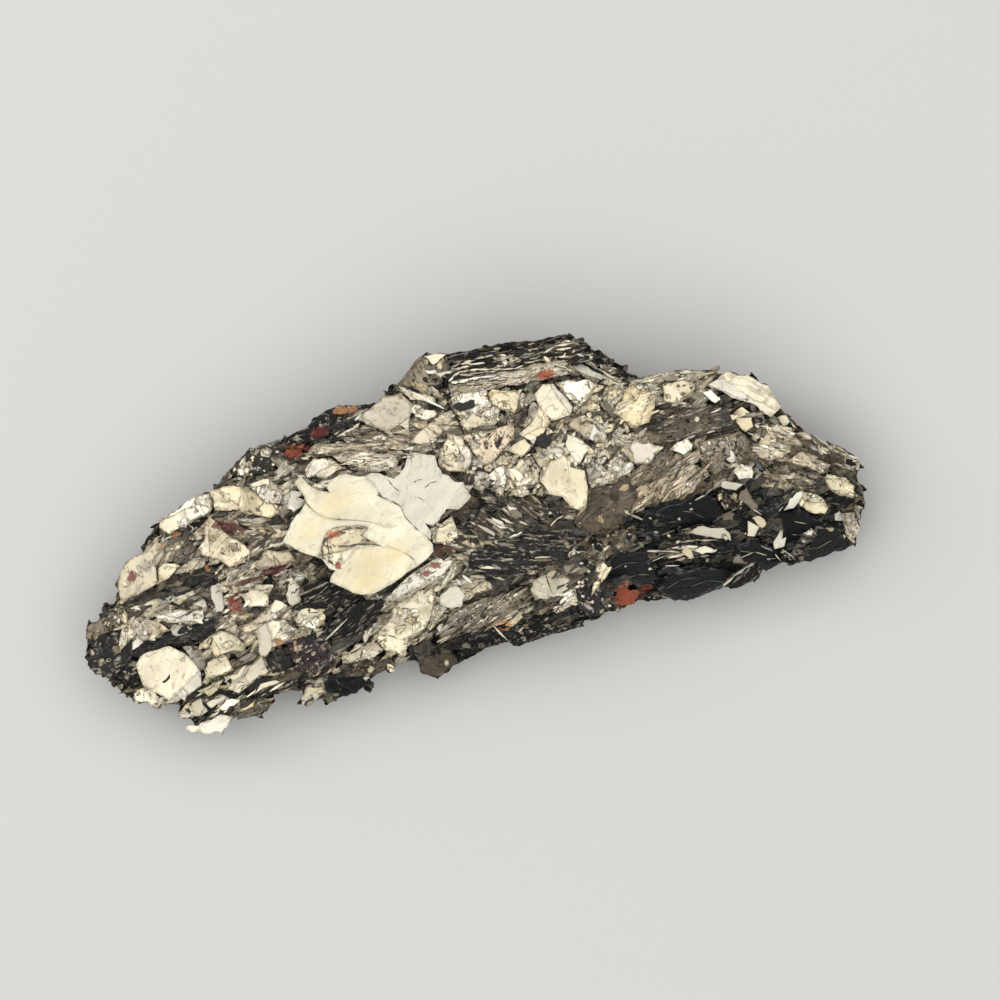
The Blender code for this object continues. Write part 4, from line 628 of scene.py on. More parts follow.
# Finish, width, and the ends of the needle or the corners of the vein.
NEEDLES = (
    ("black", 0.16, ((-29.9,-9.6), (-26.4,-8.6), (-22.5,-7.9))), ("white", 0.2, ((-16,-7.8), (-13.4,-6.2))),
    ("pearl", 0.15, ((2.8,15.05), (3.7,15.15))), ("bright", 0.26, ((4.4,15.35), (6,15.1))), ("bright", 0.28,
    ((2,14), (2.6,14.6), (3.3,14.8), (4.3,14.75), (5.2,14.6), (6.4,14.3), (7.5,14), (8.6,13.8), (9.6,13.9),
    (10.9,14.15))), ("bright", 0.4, ((2.3,13.95), (3,13.85), (4,13.85), (5.3,13.8))),
    ("white", 0.3, ((5.3,13.75), (6.8,13.55))), ("pearl", 0.2, ((6.7,13.15), (7.6,13))),
    ("bright", 0.32, ((11.6,14.4), (12.9,14.95))), ("grey", 0.15, ((7.2,15.75), (8.9,15.65))),
    ("pearl", 0.12, ((10.5,15.8), (11.2,15.85))), ("grey", 0.15, ((12.4,15.65), (14.3,15.95))),
    ("grey", 0.15, ((11.5,15.15), (11.9,15.6))), ("pearl", 0.25, ((13.1,15), (14.8,14.9))),
    ("black", 0.35, ((14.6,13.6), (17.3,10.9))),
    ("white", 0.26, ((15,13.8), (15.6,13.3), (16.8,11.8), (18.2,10.2))),
    ("bright", 0.28, ((16.3,14), (17.2,13.3))), ("bright", 0.28, ((17,12.4), (17.1,11.7))),
    ("pearl", 0.25, ((12.6,13.3), (13.6,12.6), (14.1,12))), ("bright", 0.38, ((-1.6,13.9), (1.2,11.4))),
    ("black", 0.22, ((-1.9,13.6), (1,11.1))), ("white", 0.2, ((-1.9,14.4), (-0.2,13.3))),
    ("black", 0.22, ((1.7,15.3), (1.4,13.4), (1.5,11.8), (2,10.1), (2.25,8.6), (2.25,7.1))),
    ("black", 0.16, ((7.4,9.3), (8.6,9.7), (9.9,9.8))),
    ("brown", 0.3, ((13.6,6.9), (14.4,7), (15.1,6.5), (15.5,5.6))),
    ("black", 0.12, ((12.1,11.5), (12.3,10.8), (12.8,10), (13.2,9.4), (13.8,8.6))),
    ("black", 0.2, ((8.2,5.3), (8.7,3.5), (8.3,2.5), (8.9,1.2))),
    ("black", 0.3, ((3.1,1.3), (2.1,1.3), (1.2,0.2))), ("pearl", 0.45, ((1.4,-0.2), (2.9,-1.9))),
    ("grey", 0.4, ((0.6,-0.7), (1.6,-1.8))), ("pearl", 0.4, ((2.2,0.2), (3.6,-1))),
    ("white", 0.4, ((3,-0.8), (4.1,-1.3))), ("white", 0.35, ((3.8,-0.3), (4.8,-1.1))),
    ("white", 0.3, ((4.1,-2.3), (5.5,-2.1))), ("white", 0.18, ((8.4,-2.2), (9.2,-1.7), (9.9,-1.5))),
    ("pearl", 0.3, ((9.3,-2.2), (10,-2.1), (10.7,-2.2))), ("pearl", 0.25, ((6.1,-4.9), (7.5,-5.2))),
    ("grey", 0.15, ((8,-3.6), (8.9,-3.9))), ("pearl", 0.25, ((9.4,-5.5), (9.9,-5.1))),
    ("white", 0.4, ((-2.1,-5), (-1.6,-5.8))), ("white", 0.45, ((-1.3,-4.9), (-0.5,-5.9))),
    ("white", 0.45, ((-0.6,-5), (0.9,-5.7))), ("white", 0.5, ((-1.4,-4.2), (-0.8,-4.5))),
    ("white", 0.4, ((0.7,-4.6), (1.9,-4.9))), ("pearl", 0.2, ((-1.4,-6.2), (-0.8,-6.6), (0.4,-6.1))),
    ("white", 0.4, ((0.9,-6), (1.2,-6.9))), ("white", 0.35, ((1.6,-5.8), (2.6,-6.3))),
    ("white", 0.25, ((0.3,-10.4), (1.4,-12.2))), ("white", 0.22, ((2.6,-11.9), (3.3,-11.4))),
    ("black", 0.12, ((6.7,-6.8), (6.9,-8.5))), ("pearl", 0.35, ((15.8,-2.4), (16.3,-3), (17.5,-3.9))),
    ("grey", 0.2, ((21.6,4.1), (23.2,3.9))), ("cream", 0.2, ((22.7,0.9), (24.2,1.5))),
    ("cream", 0.18, ((23,0.7), (24.2,1))), ("black", 0.35, ((28.9,2.6), (29.3,2.1), (29.8,1.3), (30.3,0.8))),
    ("black", 0.3, ((30.3,0.8), (31,1.4))), ("painted_glint", 0.5, ((29.7,-0.9), (30.3,-1.9))),
    ("pearl", 0.25, ((23,-3.2), (24.2,-2.9), (25,-2.5))), ("pearl", 0.18, ((25,-3), (25.4,-4), (25.8,-4.9))),
    ("painted_glint", 0.12, ((19,-3.4), (20.6,-3.1), (21.8,-3.3))),
    ("grey", 0.3, ((24.3,-5.7), (25.5,-5.4), (26.3,-5.2), (27,-4.9))),
    ("pearl", 0.22, ((28.2,-5.2), (29.2,-6.3))), ("cream", 0.28, ((20.6,-7), (22,-7.1), (24.1,-7.6))),
    ("pearl", 0.28, ((17.2,-7), (18.5,-7.3), (20.2,-7.9))), ("pearl", 0.15, ((17.5,-8.1), (19.5,-7.8))),
    ("pearl", 0.15, ((30.4,-10.2), (31.3,-11.3))), ("pearl", 0.18, ((25.9,-8.6), (25.2,-9.4))),
    ("pearl", 0.38, ((23.8,-12.2), (25,-11.6), (26.5,-11), (27.5,-10.7))),
    ("painted_glint", 0.1, ((18.2,-11.2), (19.6,-10.6), (21.4,-10.8))),
    ("grey", 0.15, ((32.2,-10.6), (33.8,-10.9), (35.6,-10.4))), ("pearl", 0.25, ((34.5,-8.8), (35.8,-9.5))),
    ("white", 0.3, ((35.9,0.3), (37.4,-1.2))), ("white", 0.3, ((36.2,-1.2), (36.9,-1.9))),
    ("cream", 0.3, ((38,-1.6), (38.9,-2.1))), ("white", 0.3, ((38.9,-2.5), (39.9,-3.2))),
    ("pearl", 0.28, ((37.4,-3), (38.2,-3.5))), ("grey", 0.1, ((18.4,-4.4), (19.6,-4.9), (20.9,-4.7))),
    ("grey", 0.1, ((21.4,-3.9), (22.6,-4.4), (23.4,-5.2))), ("grey", 0.14, ((19,-5.8), (20.4,-5.6))),
    ("painted_glint", 0.1, ((13.4,-8), (14.6,-7.6), (15.9,-7.9))),
    ("grey", 0.14, ((14.2,-9.3), (15.6,-9), (16.8,-9.4))),
    ("pearl", 0.12, ((32.2,-7.6), (33.4,-8.4), (34,-9.6))), ("grey", 0.14, ((31.6,-8.8), (32.6,-9.4))),
    ("pearl", 0.16, ((28.4,-9.2), (29.4,-10.2), (29.9,-11.2))),
    ("painted_glint", 0.1, ((20.4,-11.6), (22.4,-11.3), (24,-12))), ("grey", 0.16, ((26.2,-9.2), (27.4,-9.8))),
    ("pearl", 0.14, ((26.2,-10), (27.6,-9.6), (28.6,-10.4))), ("white", 0.16, ((18.6,-8.9), (20,-9.2))),
    ("pearl", 0.16, ((30.8,-6.4), (31.4,-6))),
    ("black", 0.12, ((-7.6,4.9), (-6.4,4.1), (-5.6,3.3), (-5.4,2.1), (-4.9,1.2), (-4.4,0.4))),
    ("black", 0.08, ((-7.9,-0.1), (-7.3,-0.5), (-6.6,-1.1), (-6,-1.6), (-5.6,-2.2))),
    ("brown", 0.3, ((-12.6,0.95), (-11.5,0.65), (-10.4,0.7))),
    ("smoke", 0.26, ((-10.6,0.6), (-9.4,0.35), (-8.5,0))),
    ("brown", 0.36, ((-13.8,1.9), (-12.8,2.1), (-11.7,2.4))),
    ("smoke", 0.22, ((-11.7,2.4), (-10.6,2.35), (-9.8,2.05))),
    ("brown", 0.26, ((-13.6,1.9), (-14.2,1.1), (-14.3,0.2))), ("black", 0.1, ((-3.4,8), (-3.5,7.1))),
    ("black", 0.1, ((-3.8,5.2), (-3.4,5.4), (-2.9,5.35))),
    ("black", 0.12, ((-2.8,4.5), (-2.2,4.8), (-1.5,4.8))), ("black", 0.08, ((-3.8,3.8), (-3.2,3.3))),
    ("black", 0.12, ((-6.2,6.2), (-5.8,5.3), (-5.3,4.7))),
    ("brown", 0.25, ((-0.8,5.5), (-0.1,5.1), (0.5,4.2))),
    ("black", 0.12, ((-14.6,5.85), (-14.2,5.1), (-13.8,4.6), (-13.05,4))),
    ("grey", 0.05, ((-13.05,4), (-11.45,3.4), (-10.2,3), (-8.7,2.4), (-7.7,1.7))),
    ("black", 0.35, ((-2,1.2), (-1.4,1.55), (-0.6,1.5))),
)
# Many of the small white grains on the dark glassy parts are painted glints.
GRAINS = (
    ("pearl", 0.32, ((-39.1,-3.4), (-37,-1), (-36,-0.6), (-38.4,-4.4), (-36,1.3), (-29.4,5.8))),
    ("grey", 0.4, ((-39,-1.7), (34.9,-8.1), (-4.1,-8.4))), ("white", 0.4, ((-16.4,-1.1), (-15.8,-1.7),
    (-13.2,-12.6), (-4.7,-9.4), (14,3.1), (14.5,2.2), (16.1,1.8), (14.1,1), (25,-7.4), (36.8,-8.4),
    (35.6,-9.4), (33.3,-9.1))), ("cream", 0.5, ((-12.6,-11.8), (-10.6,-12.1), (-19.3,-13.7), (28.3,-1.5))),
    ("white", 0.22, ((16.3,-11.5), (14.8,-11.7), (18.2,-3.9), (18.5,-5.4), (19.6,-6), (30.3,-12.2),
    (17,-8.8), (20.4,-6.9), (36.7,-10.4), (-25.1,1.3), (9.8,-9.8), (10.6,-10.6), (12.2,-11.4), (12.9,-12.1),
    (11.9,-12.3), (22.4,-4), (21,-4.6), (10.5,-6.6), (11,-7.6), (9.8,-8.4), (11.4,-8.6), (19.2,-9.6),
    (22.8,-9.4), (32.6,-9.9))), ("sand", 0.9, ((26,0.2),)), ("grey", 0.9, ((28.9,1.3),)),
    ("pearl", 0.6, ((27.5,0),)), ("black", 0.6, ((-25.9,-7.3),)),
    ("white", 0.35, ((7.9,14.6), (8.6,14.7), (9.2,14.5))),
)


FEATURE_ROOM = 0.12       # no flake lies closer to a needle than this


def on_a_feature(x, y):
    """True where a small plate or a needle lies, so that no flake hides it."""
    if any(inside(points, x, y) for _, points in SMALL_PLATES):
        return True
    for _, width, corners in NEEDLES:
        for start, end in zip(corners, corners[1:]):
            near, share = intersect_point_line(Vector((x, y)), Vector(start), Vector(end))
            away = (Vector((x, y)) - near.to_2d()).length
            if 0.0 < share < 1.0 and away < width / 2 + FEATURE_ROOM:
                return True
    return False


print(len(SMALL_PLATES), "small plates,", len(NEEDLES), "needles and", len(GRAINS), "kinds of grain")

# %% [markdown]
# A mesh that is a heap of loose flakes needs three facts on every face: the finish, whether the face is
# a broken edge (`rind`) and how broken the surface is (`broken`). They are stored as attributes on the
# faces, and the materials read them. Storing them on faces and not on corners keeps the steps between
# neighbouring flakes sharp.

# %% Finishes on faces
LEVEL, STEEP = 0.93, 0.4  # a normal's Z above the first is a cleavage plane, below the second a broken edge
# the bevel is painted darker: partly the shadow line along a plate's edge, partly its chipped rim
BEVEL_SHADE_AND_WEAR = 0.3                # how dark the bevel of a rim is, where 1 is the broken edge itself
PLAIN = 0.55              # the length of the grain vector where a plate has no grain of its own


def grain_vector(degrees, seed, drawn=1.0):
    """The direction of the grain on the plan, with a seed in Z that sets its pattern apart. `drawn` is
    shorter than one where there is hardly any grain."""
    turn = math.radians(degrees)
    return Vector((drawn * math.cos(turn), drawn * math.sin(turn), seed))


def toned(finish, light, warm):
    """The finish, lighter by the factor `light` and redder by the share `warm`."""
    red, green, blue, gloss = FINISHES[finish]
    return red * light * (1 + warm), green * light, blue * light * (1 - 2 * warm), gloss


def rind_of(face):
    """How much of the broken edge's dirt a plate's face shows; its bevel also gets painted shadow."""
    if face.normal.z > LEVEL:
        return 0.0
    return BEVEL_SHADE_AND_WEAR if face.normal.z > STEEP else 1.0


def face_layers(bm):
    """The layers for finish, rind, how broken and grain, made where there are none."""
    layers = bm.faces.layers
    return [kind.get(name) or kind.new(name) for kind, name in (
        (layers.float_color, "tint"), (layers.float, "rind"), (layers.float, "broken"),
        (layers.float_vector, "grain"))]


def shade_faces(bm, finish, broken, chance, spread=0.1, grain=None):
    """Writes the finish on every face, a little lighter or darker as a whole."""
    tint, rind, crack, lie = face_layers(bm)
    colour = toned(finish, chance.uniform(1.0 - spread, 1.0 + spread), chance.uniform(-0.04, 0.04))
    way = grain_vector(chance.uniform(0, 180) if grain is None else grain, chance.random(),
                       PLAIN if grain is None else 1.0)
    for face in bm.faces:
        face[tint] = colour
        face[rind] = rind_of(face)
        face[crack] = broken
        face[lie] = way


print("a lighter cream:", [round(part, 2) for part in toned("cream", 1.1, 0.0)])

# %% [markdown]
# Every piece ends the same way: its heap of flakes goes from the plan to metres, becomes one mesh object
# at the origin, and rides on the rock's only body.

# %% Meshes and finished pieces
def to_mesh(bm, name):
    mesh = bpy.data.meshes.new(name)
    bm.to_mesh(mesh)
    bm.free()
    return mesh


def add_mesh(heap, mesh):
    """Adds a mesh to the heap, and removes it."""
    heap.from_mesh(mesh)
    bpy.data.meshes.remove(mesh)


def finished_piece(name, bm, material):
    """Puts a heap that was made on the plan where it belongs, in metres, and lets it ride on the rock."""
    bm.transform(TO_METRES)
    mesh = to_mesh(bm, name)
    mesh.materials.append(material)
    piece = bpy.data.objects.new(name, mesh)
    bpy.context.scene.collection.objects.link(piece)
    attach(piece, "root")
    mesh.calc_loop_triangles()
    print(name, "has", len(mesh.loop_triangles), "triangles")
    return piece


# %% [markdown]
# ## The material
# A cleavage plane is smooth and lustrous, but never even: it is mottled over a few millimetres, with
# painted shade and sheen where the uneven sheet turns from the light or towards it, has fine striae, dark
# flecks where bits are missing, and small cells, each a little lighter or darker. One material does all
# that, and reads from the faces how strong each effect is. It takes many nodes, so they get a small
# language first, in which a pattern's size is said in millimetres.

# %% A small language for nodes
class Nodes:
    """Adds nodes to one material, with their inputs given in words."""

    def __init__(self, material):
        self.tree = material.node_tree

    def add(self, kind, output=0, settings=None, **inputs):
        """Adds a node and returns an output. Inputs called i0, i1 and so on are meant by number."""
        node = self.tree.nodes.new(kind)
        for key, value in (settings or {}).items():
            setattr(node, key, value)
        for key, value in inputs.items():
            by_number = key[0] == "i" and key[1:].isdigit()
            self.fill(node.inputs[int(key[1:]) if by_number else key], value)
        return node.outputs[output]

    def fill(self, slot, value):
        """Links another node's output to the input, or sets it to a value."""
        if isinstance(value, bpy.types.NodeSocket):
            self.tree.links.new(value, slot)
        else:
            slot.default_value = value

    def math(self, operation, first, *others, clamp=False):
        """Does the operation with each of the others in turn."""
        for other in others:
            first = self.add("ShaderNodeMath", settings={"operation": operation, "use_clamp": clamp},
                             i0=first, i1=other)
        return first

    def times(self, *factors):
        return self.math("MULTIPLY", *factors)

    def vector(self, operation, *places, output=0):
        return self.add("ShaderNodeVectorMath", output=output, settings={"operation": operation},
                        **{"i" + str(number): place for number, place in enumerate(places)})

    def fade(self, value, start, end, low=0.0, high=1.0):
        """Moves a value from low to high while it goes from start to end."""
        return self.add("ShaderNodeMapRange", settings={"interpolation_type": "SMOOTHSTEP"},
                        i0=value, i1=start, i2=end, i3=low, i4=high)

    def mix(self, factor, a, b, blend="MIX"):
        return self.add("ShaderNodeMix", output=2, settings={"data_type": "RGBA", "blend_type": blend},
                        i0=factor, i6=a, i7=b)

    def dyed(self, colour, dye):
        """The colour, seen through another one."""
        return self.mix(1.0, colour, dye, "MULTIPLY")

    def noise(self, where, size, detail=3.0, rough=0.6, warp=0.0):
        """Noise whose lumps are about `size` millimetres wide."""
        return self.add("ShaderNodeTexNoise", Vector=where, Scale=1.0 / (size * MM), Detail=detail,
                        Roughness=rough, Distortion=warp)

    def attribute(self, name, output):
        return self.add("ShaderNodeAttribute", output=output, settings={"attribute_name": name})


print("lumps of 0.5 mm need a noise scale of", 1.0 / (0.5 * MM))

# %% [markdown]
# Every effect is a noise pattern that is stronger on a broken plate than on a smooth one. Both are listed
# by name, to be tuned in one place. Patterns that follow the grain are read at a place that counts the way
# along the grain as shorter.

# %% Patterns and their strength
# Size in mm, detail, roughness and warp of the noise, where it begins and where it is full; then the least
# and the most, if they aren't 0 and 1.
PATTERNS = {
    "shade_patch": (1.7, 6.0, 0.72, 0.0, 0.37, 0.53),
    "fold": (3.2, 2.0, 0.45, 0.4, 0.36, 0.60),
    "lit rim": (1.1, 1.0, 0.6, 0.0, 0.50, 0.62),
    "line": (1.6, 2.0, 0.6, 0.0, 0.42, 0.54),
    "fleck": (0.36, 3.0, 0.7, 0.0, 0.61, 0.67),
    "leaf": (0.30, 3.0, 0.65, 0.0, 0.42, 0.56, 0.98, 0.60),
    "dull patch": (1.3, 4.0, 0.6, 0.0, 0.3, 0.7, -0.10, 0.14),
}
# From how broken a plate the effect grows and up to how broken, then its least and its most.
STRENGTHS = {
    "shade_patch": (0.0, 0.45, 0.16, 0.9),
    "fold": (0.0, 0.3, 0.30, 1.0),
    "border": (0.02, 0.25, 0.35, 0.85),
    "cell": (0.1, 0.7, 0.0, 0.8),
    "pale streak": (0.1, 0.8, 0.05, 1.0),
    "dark streak": (0.1, 0.8, 0.03, 0.8),
    "line": (0.0, 0.35, 0.15, 0.9),
    "fleck": (0.0, 0.5, 0.10, 0.9),
}
STREAKY, FLOWING = 0.22, 0.5      # what a step along the grain counts as, for streaks and for wide forms
SEED_LIFT = 0.05          # how many metres up the pattern of seed 1 lies above that of seed 0


class RockNodes(Nodes):
    """The nodes of one rock material, with what they read from the faces."""

    def __init__(self, material):
        super().__init__(material)
        self.where = self.add("ShaderNodeTexCoord", output=3)
        self.tint, self.gloss = self.attribute("tint", 0), self.attribute("tint", 3)
        self.rind, self.broken, self.rim = (self.attribute(name, 2) for name in ("rind", "broken", "rim"))
        grain = self.attribute("grain", 1)
        self.lie = self.vector("MULTIPLY", grain, (1, 1, 0))
        cross = self.vector("CROSS_PRODUCT", (0, 0, 1), self.lie)
        self.along = self.vector("DOT_PRODUCT", self.where, self.lie, output=1)
        self.across = self.vector("DOT_PRODUCT", self.where, cross, output=1)
        height, seed = (self.add("ShaderNodeSeparateXYZ", output=2, i0=what) for what in (self.where, grain))
        self.up = self.math("ADD", height, self.times(seed, SEED_LIFT))
        self.streaky, self.flowing = self.drawn_out(STREAKY), self.drawn_out(FLOWING)

    def drawn_out(self, share):
        """The place along the grain, across it and up. The smaller the share, the longer the forms."""
        return self.add("ShaderNodeCombineXYZ", i0=self.times(self.along, share), i1=self.across,
                        i2=self.up)

    def pattern(self, effect, where):
        size, detail, rough, warp, *edges = PATTERNS[effect]
        return self.fade(self.noise(where, size, detail, rough, warp), *edges)

    def strength(self, effect):
        return self.fade(self.broken, *STRENGTHS[effect])


print(len(PATTERNS), "patterns and", len(STRENGTHS), "strengths")

# %% [markdown]
# The first effects are soft grey patches of painted shade, with painted sheen between them, where a sheet
# lifts off; wide folds, because no sheet is quite flat, with painted shade in their troughs and painted
# highlights on their crests; small cells; and the rim. A pale leaf darkens towards its rim, partly as
# painted shade where it curls away from the light and partly because it is thin and dirty there; a dark one
# shows a lighter edge, a painted highlight.

# %% Painted shade patches, folds, cells and rims
WHITE = (1.0, 1.0, 1.0, 1.0)
# painted shade in the patches, and painted sheen between them
PATCH_SHADE, PATCH_SHEEN = (0.46, 0.435, 0.395, 1.0), (1.16, 1.15, 1.12, 1.0)
# painted shade in a fold's trough, painted highlight on its crest
TROUGH_SHADE, CREST_HIGHLIGHT = (0.80, 0.76, 0.69, 1.0), (1.12, 1.12, 1.11, 1.0)
SWAY = 0.0011             # how far the borders of the cells sway, in metres
SWAYS, CELLS = 900.0, 1150.0      # to the metre
CELL_LIGHT = (0.1, 0.6, 0.66, 1.12)
RIM_SWAY = 1.9            # how much the noise moves the inner border of the rim
RIM_BORDER = (0.62, 1.10)
# painted shade of a leaf that curls away from the light, with the dirt of its thin rim
RIM_SHADE_AND_DIRT = (0.33, 0.285, 0.225, 1.0)
GLASSY = (0.70, 0.85)
# painted highlights along the rim of a dark leaf: grey on rock, blue-grey on glass
ROCK_EDGE_HIGHLIGHT, GLASS_EDGE_HIGHLIGHT = (0.105, 0.097, 0.080, 1.0), (0.16, 0.18, 0.185, 1.0)


def smudged(rock, colour):
    shade_patch = rock.mix(rock.pattern("shade_patch", rock.flowing), PATCH_SHADE, PATCH_SHEEN)
    return rock.dyed(colour, rock.mix(rock.strength("shade_patch"), WHITE, shade_patch))


def folded(rock, colour):
    fold = rock.mix(rock.pattern("fold", rock.flowing), TROUGH_SHADE, CREST_HIGHLIGHT)
    return rock.mix(rock.strength("fold"), colour, rock.dyed(colour, fold))


def celled(rock, colour):
    sway = rock.add("ShaderNodeTexNoise", output=1, Vector=rock.where, Scale=SWAYS, Detail=3.0)
    swayed = rock.vector("MULTIPLY_ADD", sway, (SWAY, SWAY, SWAY), rock.flowing)
    cell = rock.add("ShaderNodeTexVoronoi", output=1, Vector=swayed, Scale=CELLS)
    light = rock.fade(rock.add("ShaderNodeSeparateColor", i0=cell), *CELL_LIGHT)
    return rock.dyed(colour, rock.mix(rock.strength("cell"), WHITE, light))


def border_of(rock):
    """How much a place belongs to the rim. The rim's inner border is ragged."""
    ragged = rock.math("SUBTRACT", rock.noise(rock.where, 0.5, detail=4.0, rough=0.7), 0.5)
    border = rock.fade(rock.math("ADD", rock.rim, rock.times(ragged, RIM_SWAY)), *RIM_BORDER)
    return rock.times(border, rock.strength("border"))


def rimmed(rock, colour, border):
    # the rim darkens: painted shade and dirt
    colour = rock.mix(border, colour, rock.dyed(colour, RIM_SHADE_AND_DIRT))
    # painted highlight on the rim
    lit = rock.times(rock.pattern("lit rim", rock.where), border)
    edge = rock.mix(rock.fade(rock.gloss, *GLASSY), ROCK_EDGE_HIGHLIGHT, GLASS_EDGE_HIGHLIGHT)
    return rock.mix(lit, colour, edge, "LIGHTEN")


print("a cell is about", round(1000 / CELLS, 2), "mm wide")

# %% [markdown]
# Streaks run along the grain: pale ones on what is dark, partly painted highlights, and dark ones on what is
# pale. The dark ones are dirt, and so are the flecks and the broken edges, which show the leaves one above
# the other as fine level lines. The thin curved lines where one sheet ends on another are painted shade,
# the shadow in the step between the sheets.

# %% Streaks, dirt and painted crack shade
PALE_STREAK, DARK_STREAK = (0.565, 0.63), (0.41, 0.35)
# pale streaks, partly painted highlights along the grain
STREAK_COLOUR = (0.52, 0.47, 0.37, 1.0)
STREAK_BY_GLOSS = (0.60, 0.80, 0.75, 0.10)
STREAK_BY_GRAIN = (0.7, 0.95, 0.22, 1.0)     # the grain vector is short where there is hardly any grain
CURVES_APART = 0.085      # how much the noise changes from one curved line to the next
CURVE = (0.004, 0.014, 1.0, 0.0)
LEAVES_LEVEL = (0.25, 0.25, 2.2)
# the darkest colour: dirt, and painted shade in the cracks
DIRT_AND_SHADE = (0.014, 0.012, 0.009, 1.0)


def streaked(rock, colour, streak):
    pale = rock.times(rock.fade(streak, *PALE_STREAK), rock.fade(rock.gloss, *STREAK_BY_GLOSS),
                      rock.strength("pale streak"))
    return rock.mix(pale, colour, STREAK_COLOUR, "LIGHTEN")


def dirt_of(rock, streak):
    """How dark a place is painted, by the darkest of what darkens it: dirt, and painted shade in the cracks.
    """
    grain = rock.fade(rock.vector("LENGTH", rock.lie, output=1), *STREAK_BY_GRAIN)
    dark = rock.times(rock.fade(streak, *DARK_STREAK), rock.strength("dark streak"), grain)
    # thin curved lines of painted shade, where one sheet steps down to the next
    curve = rock.math("PINGPONG", rock.noise(rock.flowing, 1.9, rough=0.5, warp=0.9), CURVES_APART)
    line = rock.times(rock.fade(curve, *CURVE), rock.pattern("line", rock.where), rock.strength("line"))
    fleck = rock.times(rock.pattern("fleck", rock.where), rock.strength("fleck"))
    leaf = rock.pattern("leaf", rock.vector("MULTIPLY", rock.where, LEAVES_LEVEL))
    return rock.math("MAXIMUM", dark, line, fleck, rock.times(rock.rind, leaf))


print("a leaf on a broken edge is about", round(PATTERNS["leaf"][0] / LEAVES_LEVEL[2], 2), "mm thick")

# %% [markdown]
# Iron stain is only colour, so it isn't modelled: each spot is a soft ellipsoid in space that reddens what
# it touches. The list has each spot's place on the plan, the two radii, the turn in degrees, the colour.

# %% Iron stains
STAINS = (
    (-24.1, -2.1, 0.95, 0.85, 60, "brick"), (-33.4, 2.9, 0.6, 0.55, 10, "wine"),
    (-31.8, 3.7, 1.2, 0.7, 60, "ash"), (-32.8, 1.8, 0.7, 0.3, 40, "ash"),
    (-23.2, 5.6, 1.5, 0.6, -18, "wine"), (-21.6, 5, 1.2, 0.5, -10, "rust"),
    (-19.4, 0.1, 1.3, 0.45, 8, "wine"), (-22.6, -0.3, 2, 0.3, 4, "rust"),
    (-14.2, 11.1, 1.6, 0.75, -8, "coral"), (-11.8, 12.4, 1, 0.45, 5, "wine"),
    (-8.6, 14, 1.2, 0.45, -10, "amber"), (11.5, 12.4, 0.95, 0.55, 0, "coral"),
    (-2.6, -2, 1.2, 0.7, -15, "rust"), (-3.7, -3.2, 0.8, 0.3, -15, "brick"),
    (-4.8, -3.8, 0.5, 0.3, 0, "brick"), (-28.1, 6, 0.45, 0.3, 0, "amber"),
    (-25.8, 2.2, 0.35, 0.5, 0, "amber"), (-29.6, 5.2, 0.4, 0.35, 0, "amber"),
    (-20.8, -7, 0.5, 0.7, 0, "amber"), (1.5, -10.8, 0.6, 0.6, 0, "amber"), (8.7, 9, 1.3, 0.5, 25, "plum"),
    (-9.6, -1.6, 2.2, 1.7, 20, "honey"), (-10.8, -3.3, 1.8, 0.9, 10, "honey"),
    (-12, 5, 2.4, 1.3, 20, "honey"), (-15.4, 2.9, 1.7, 1.2, 30, "honey"), (-7, -0.9, 1.2, 1, 0, "honey"),
    (-12.8, 2.2, 0.7, 0.4, 10, "coral"), (-14.2, 0.2, 0.5, 0.5, 0, "coral"),
    (-13, -0.9, 0.3, 0.4, 0, "brick"), (14, -10.6, 1.8, 1.3, -40, "coral"),
    (16.2, -10.55, 0.6, 0.3, -20, "brick"),
)
STAIN_COLOURS = {
    "brick": (0.30, 0.065, 0.040, 1.0), "wine": (0.15, 0.030, 0.028, 1.0), "rust": (0.13, 0.055, 0.038, 1.0),
    "amber": (0.48, 0.23, 0.10, 1.0), "coral": (0.40, 0.105, 0.048, 1.0), "honey": (0.74, 0.60, 0.33, 1.0),
    "ash": (0.30, 0.262, 0.205, 1.0), "plum": (0.14, 0.100, 0.088, 1.0),
}
SOFT = ("honey", "ash")   # these fade out slowly instead of ending in a ragged border
SOFT_STAIN, SHARP_STAIN = (1.8, 3.1, 0.6, 0.0), (2.35, 2.75, 0.88, 0.0)
STAIN_SWAY = 3.2          # how much the noise moves a stain's border
STAIN_DEPTH = 2.5


def stained(rock, colour):
    """Reddens the colour around each stain, with a ragged border."""
    ragged = rock.times(rock.noise(rock.where, 0.6, detail=5.0, rough=0.75), STAIN_SWAY)
    for x, y, along, across, turn, name in STAINS:
        local = rock.add("ShaderNodeMapping", settings={"vector_type": "TEXTURE"}, Vector=rock.where,
                         Location=TO_METRES @ ground_at(x, y), Rotation=(0.0, 0.0, math.radians(turn)),
                         Scale=(along * MM, across * MM, STAIN_DEPTH * MM))
        edge = rock.math("ADD", rock.vector("LENGTH", local, output=1), ragged)
        share = rock.fade(edge, *(SOFT_STAIN if name in SOFT else SHARP_STAIN))
        colour = rock.mix(share, colour, STAIN_COLOURS[name])
    return colour


print(len(STAINS), "iron stains")

# %% [markdown]
# All effects together make the colour. The finish's gloss sets the roughness, with dull patches, and dirt
# and painted crack shade are rougher. The relief is a bump, in which dirt, painted crack shade and rims lie
# lower. The plates and the dark rock get a material each from the same function.

# %% The material itself
ROUGH_BY_GLOSS = (0.0, 1.0, 0.78, 0.10)
DIRT_AND_SHADE_ROUGH = 0.15
LUMPS_HIGH, STREAKS_HIGH, DIRT_AND_SHADE_DEEP, BORDER_DEEP = 0.5, 0.6, 0.6, 0.5
RELIEF_BY_GLOSS = (0.62, 0.86, 1.0, 2.6)
BUMP_STRENGTH = 0.6


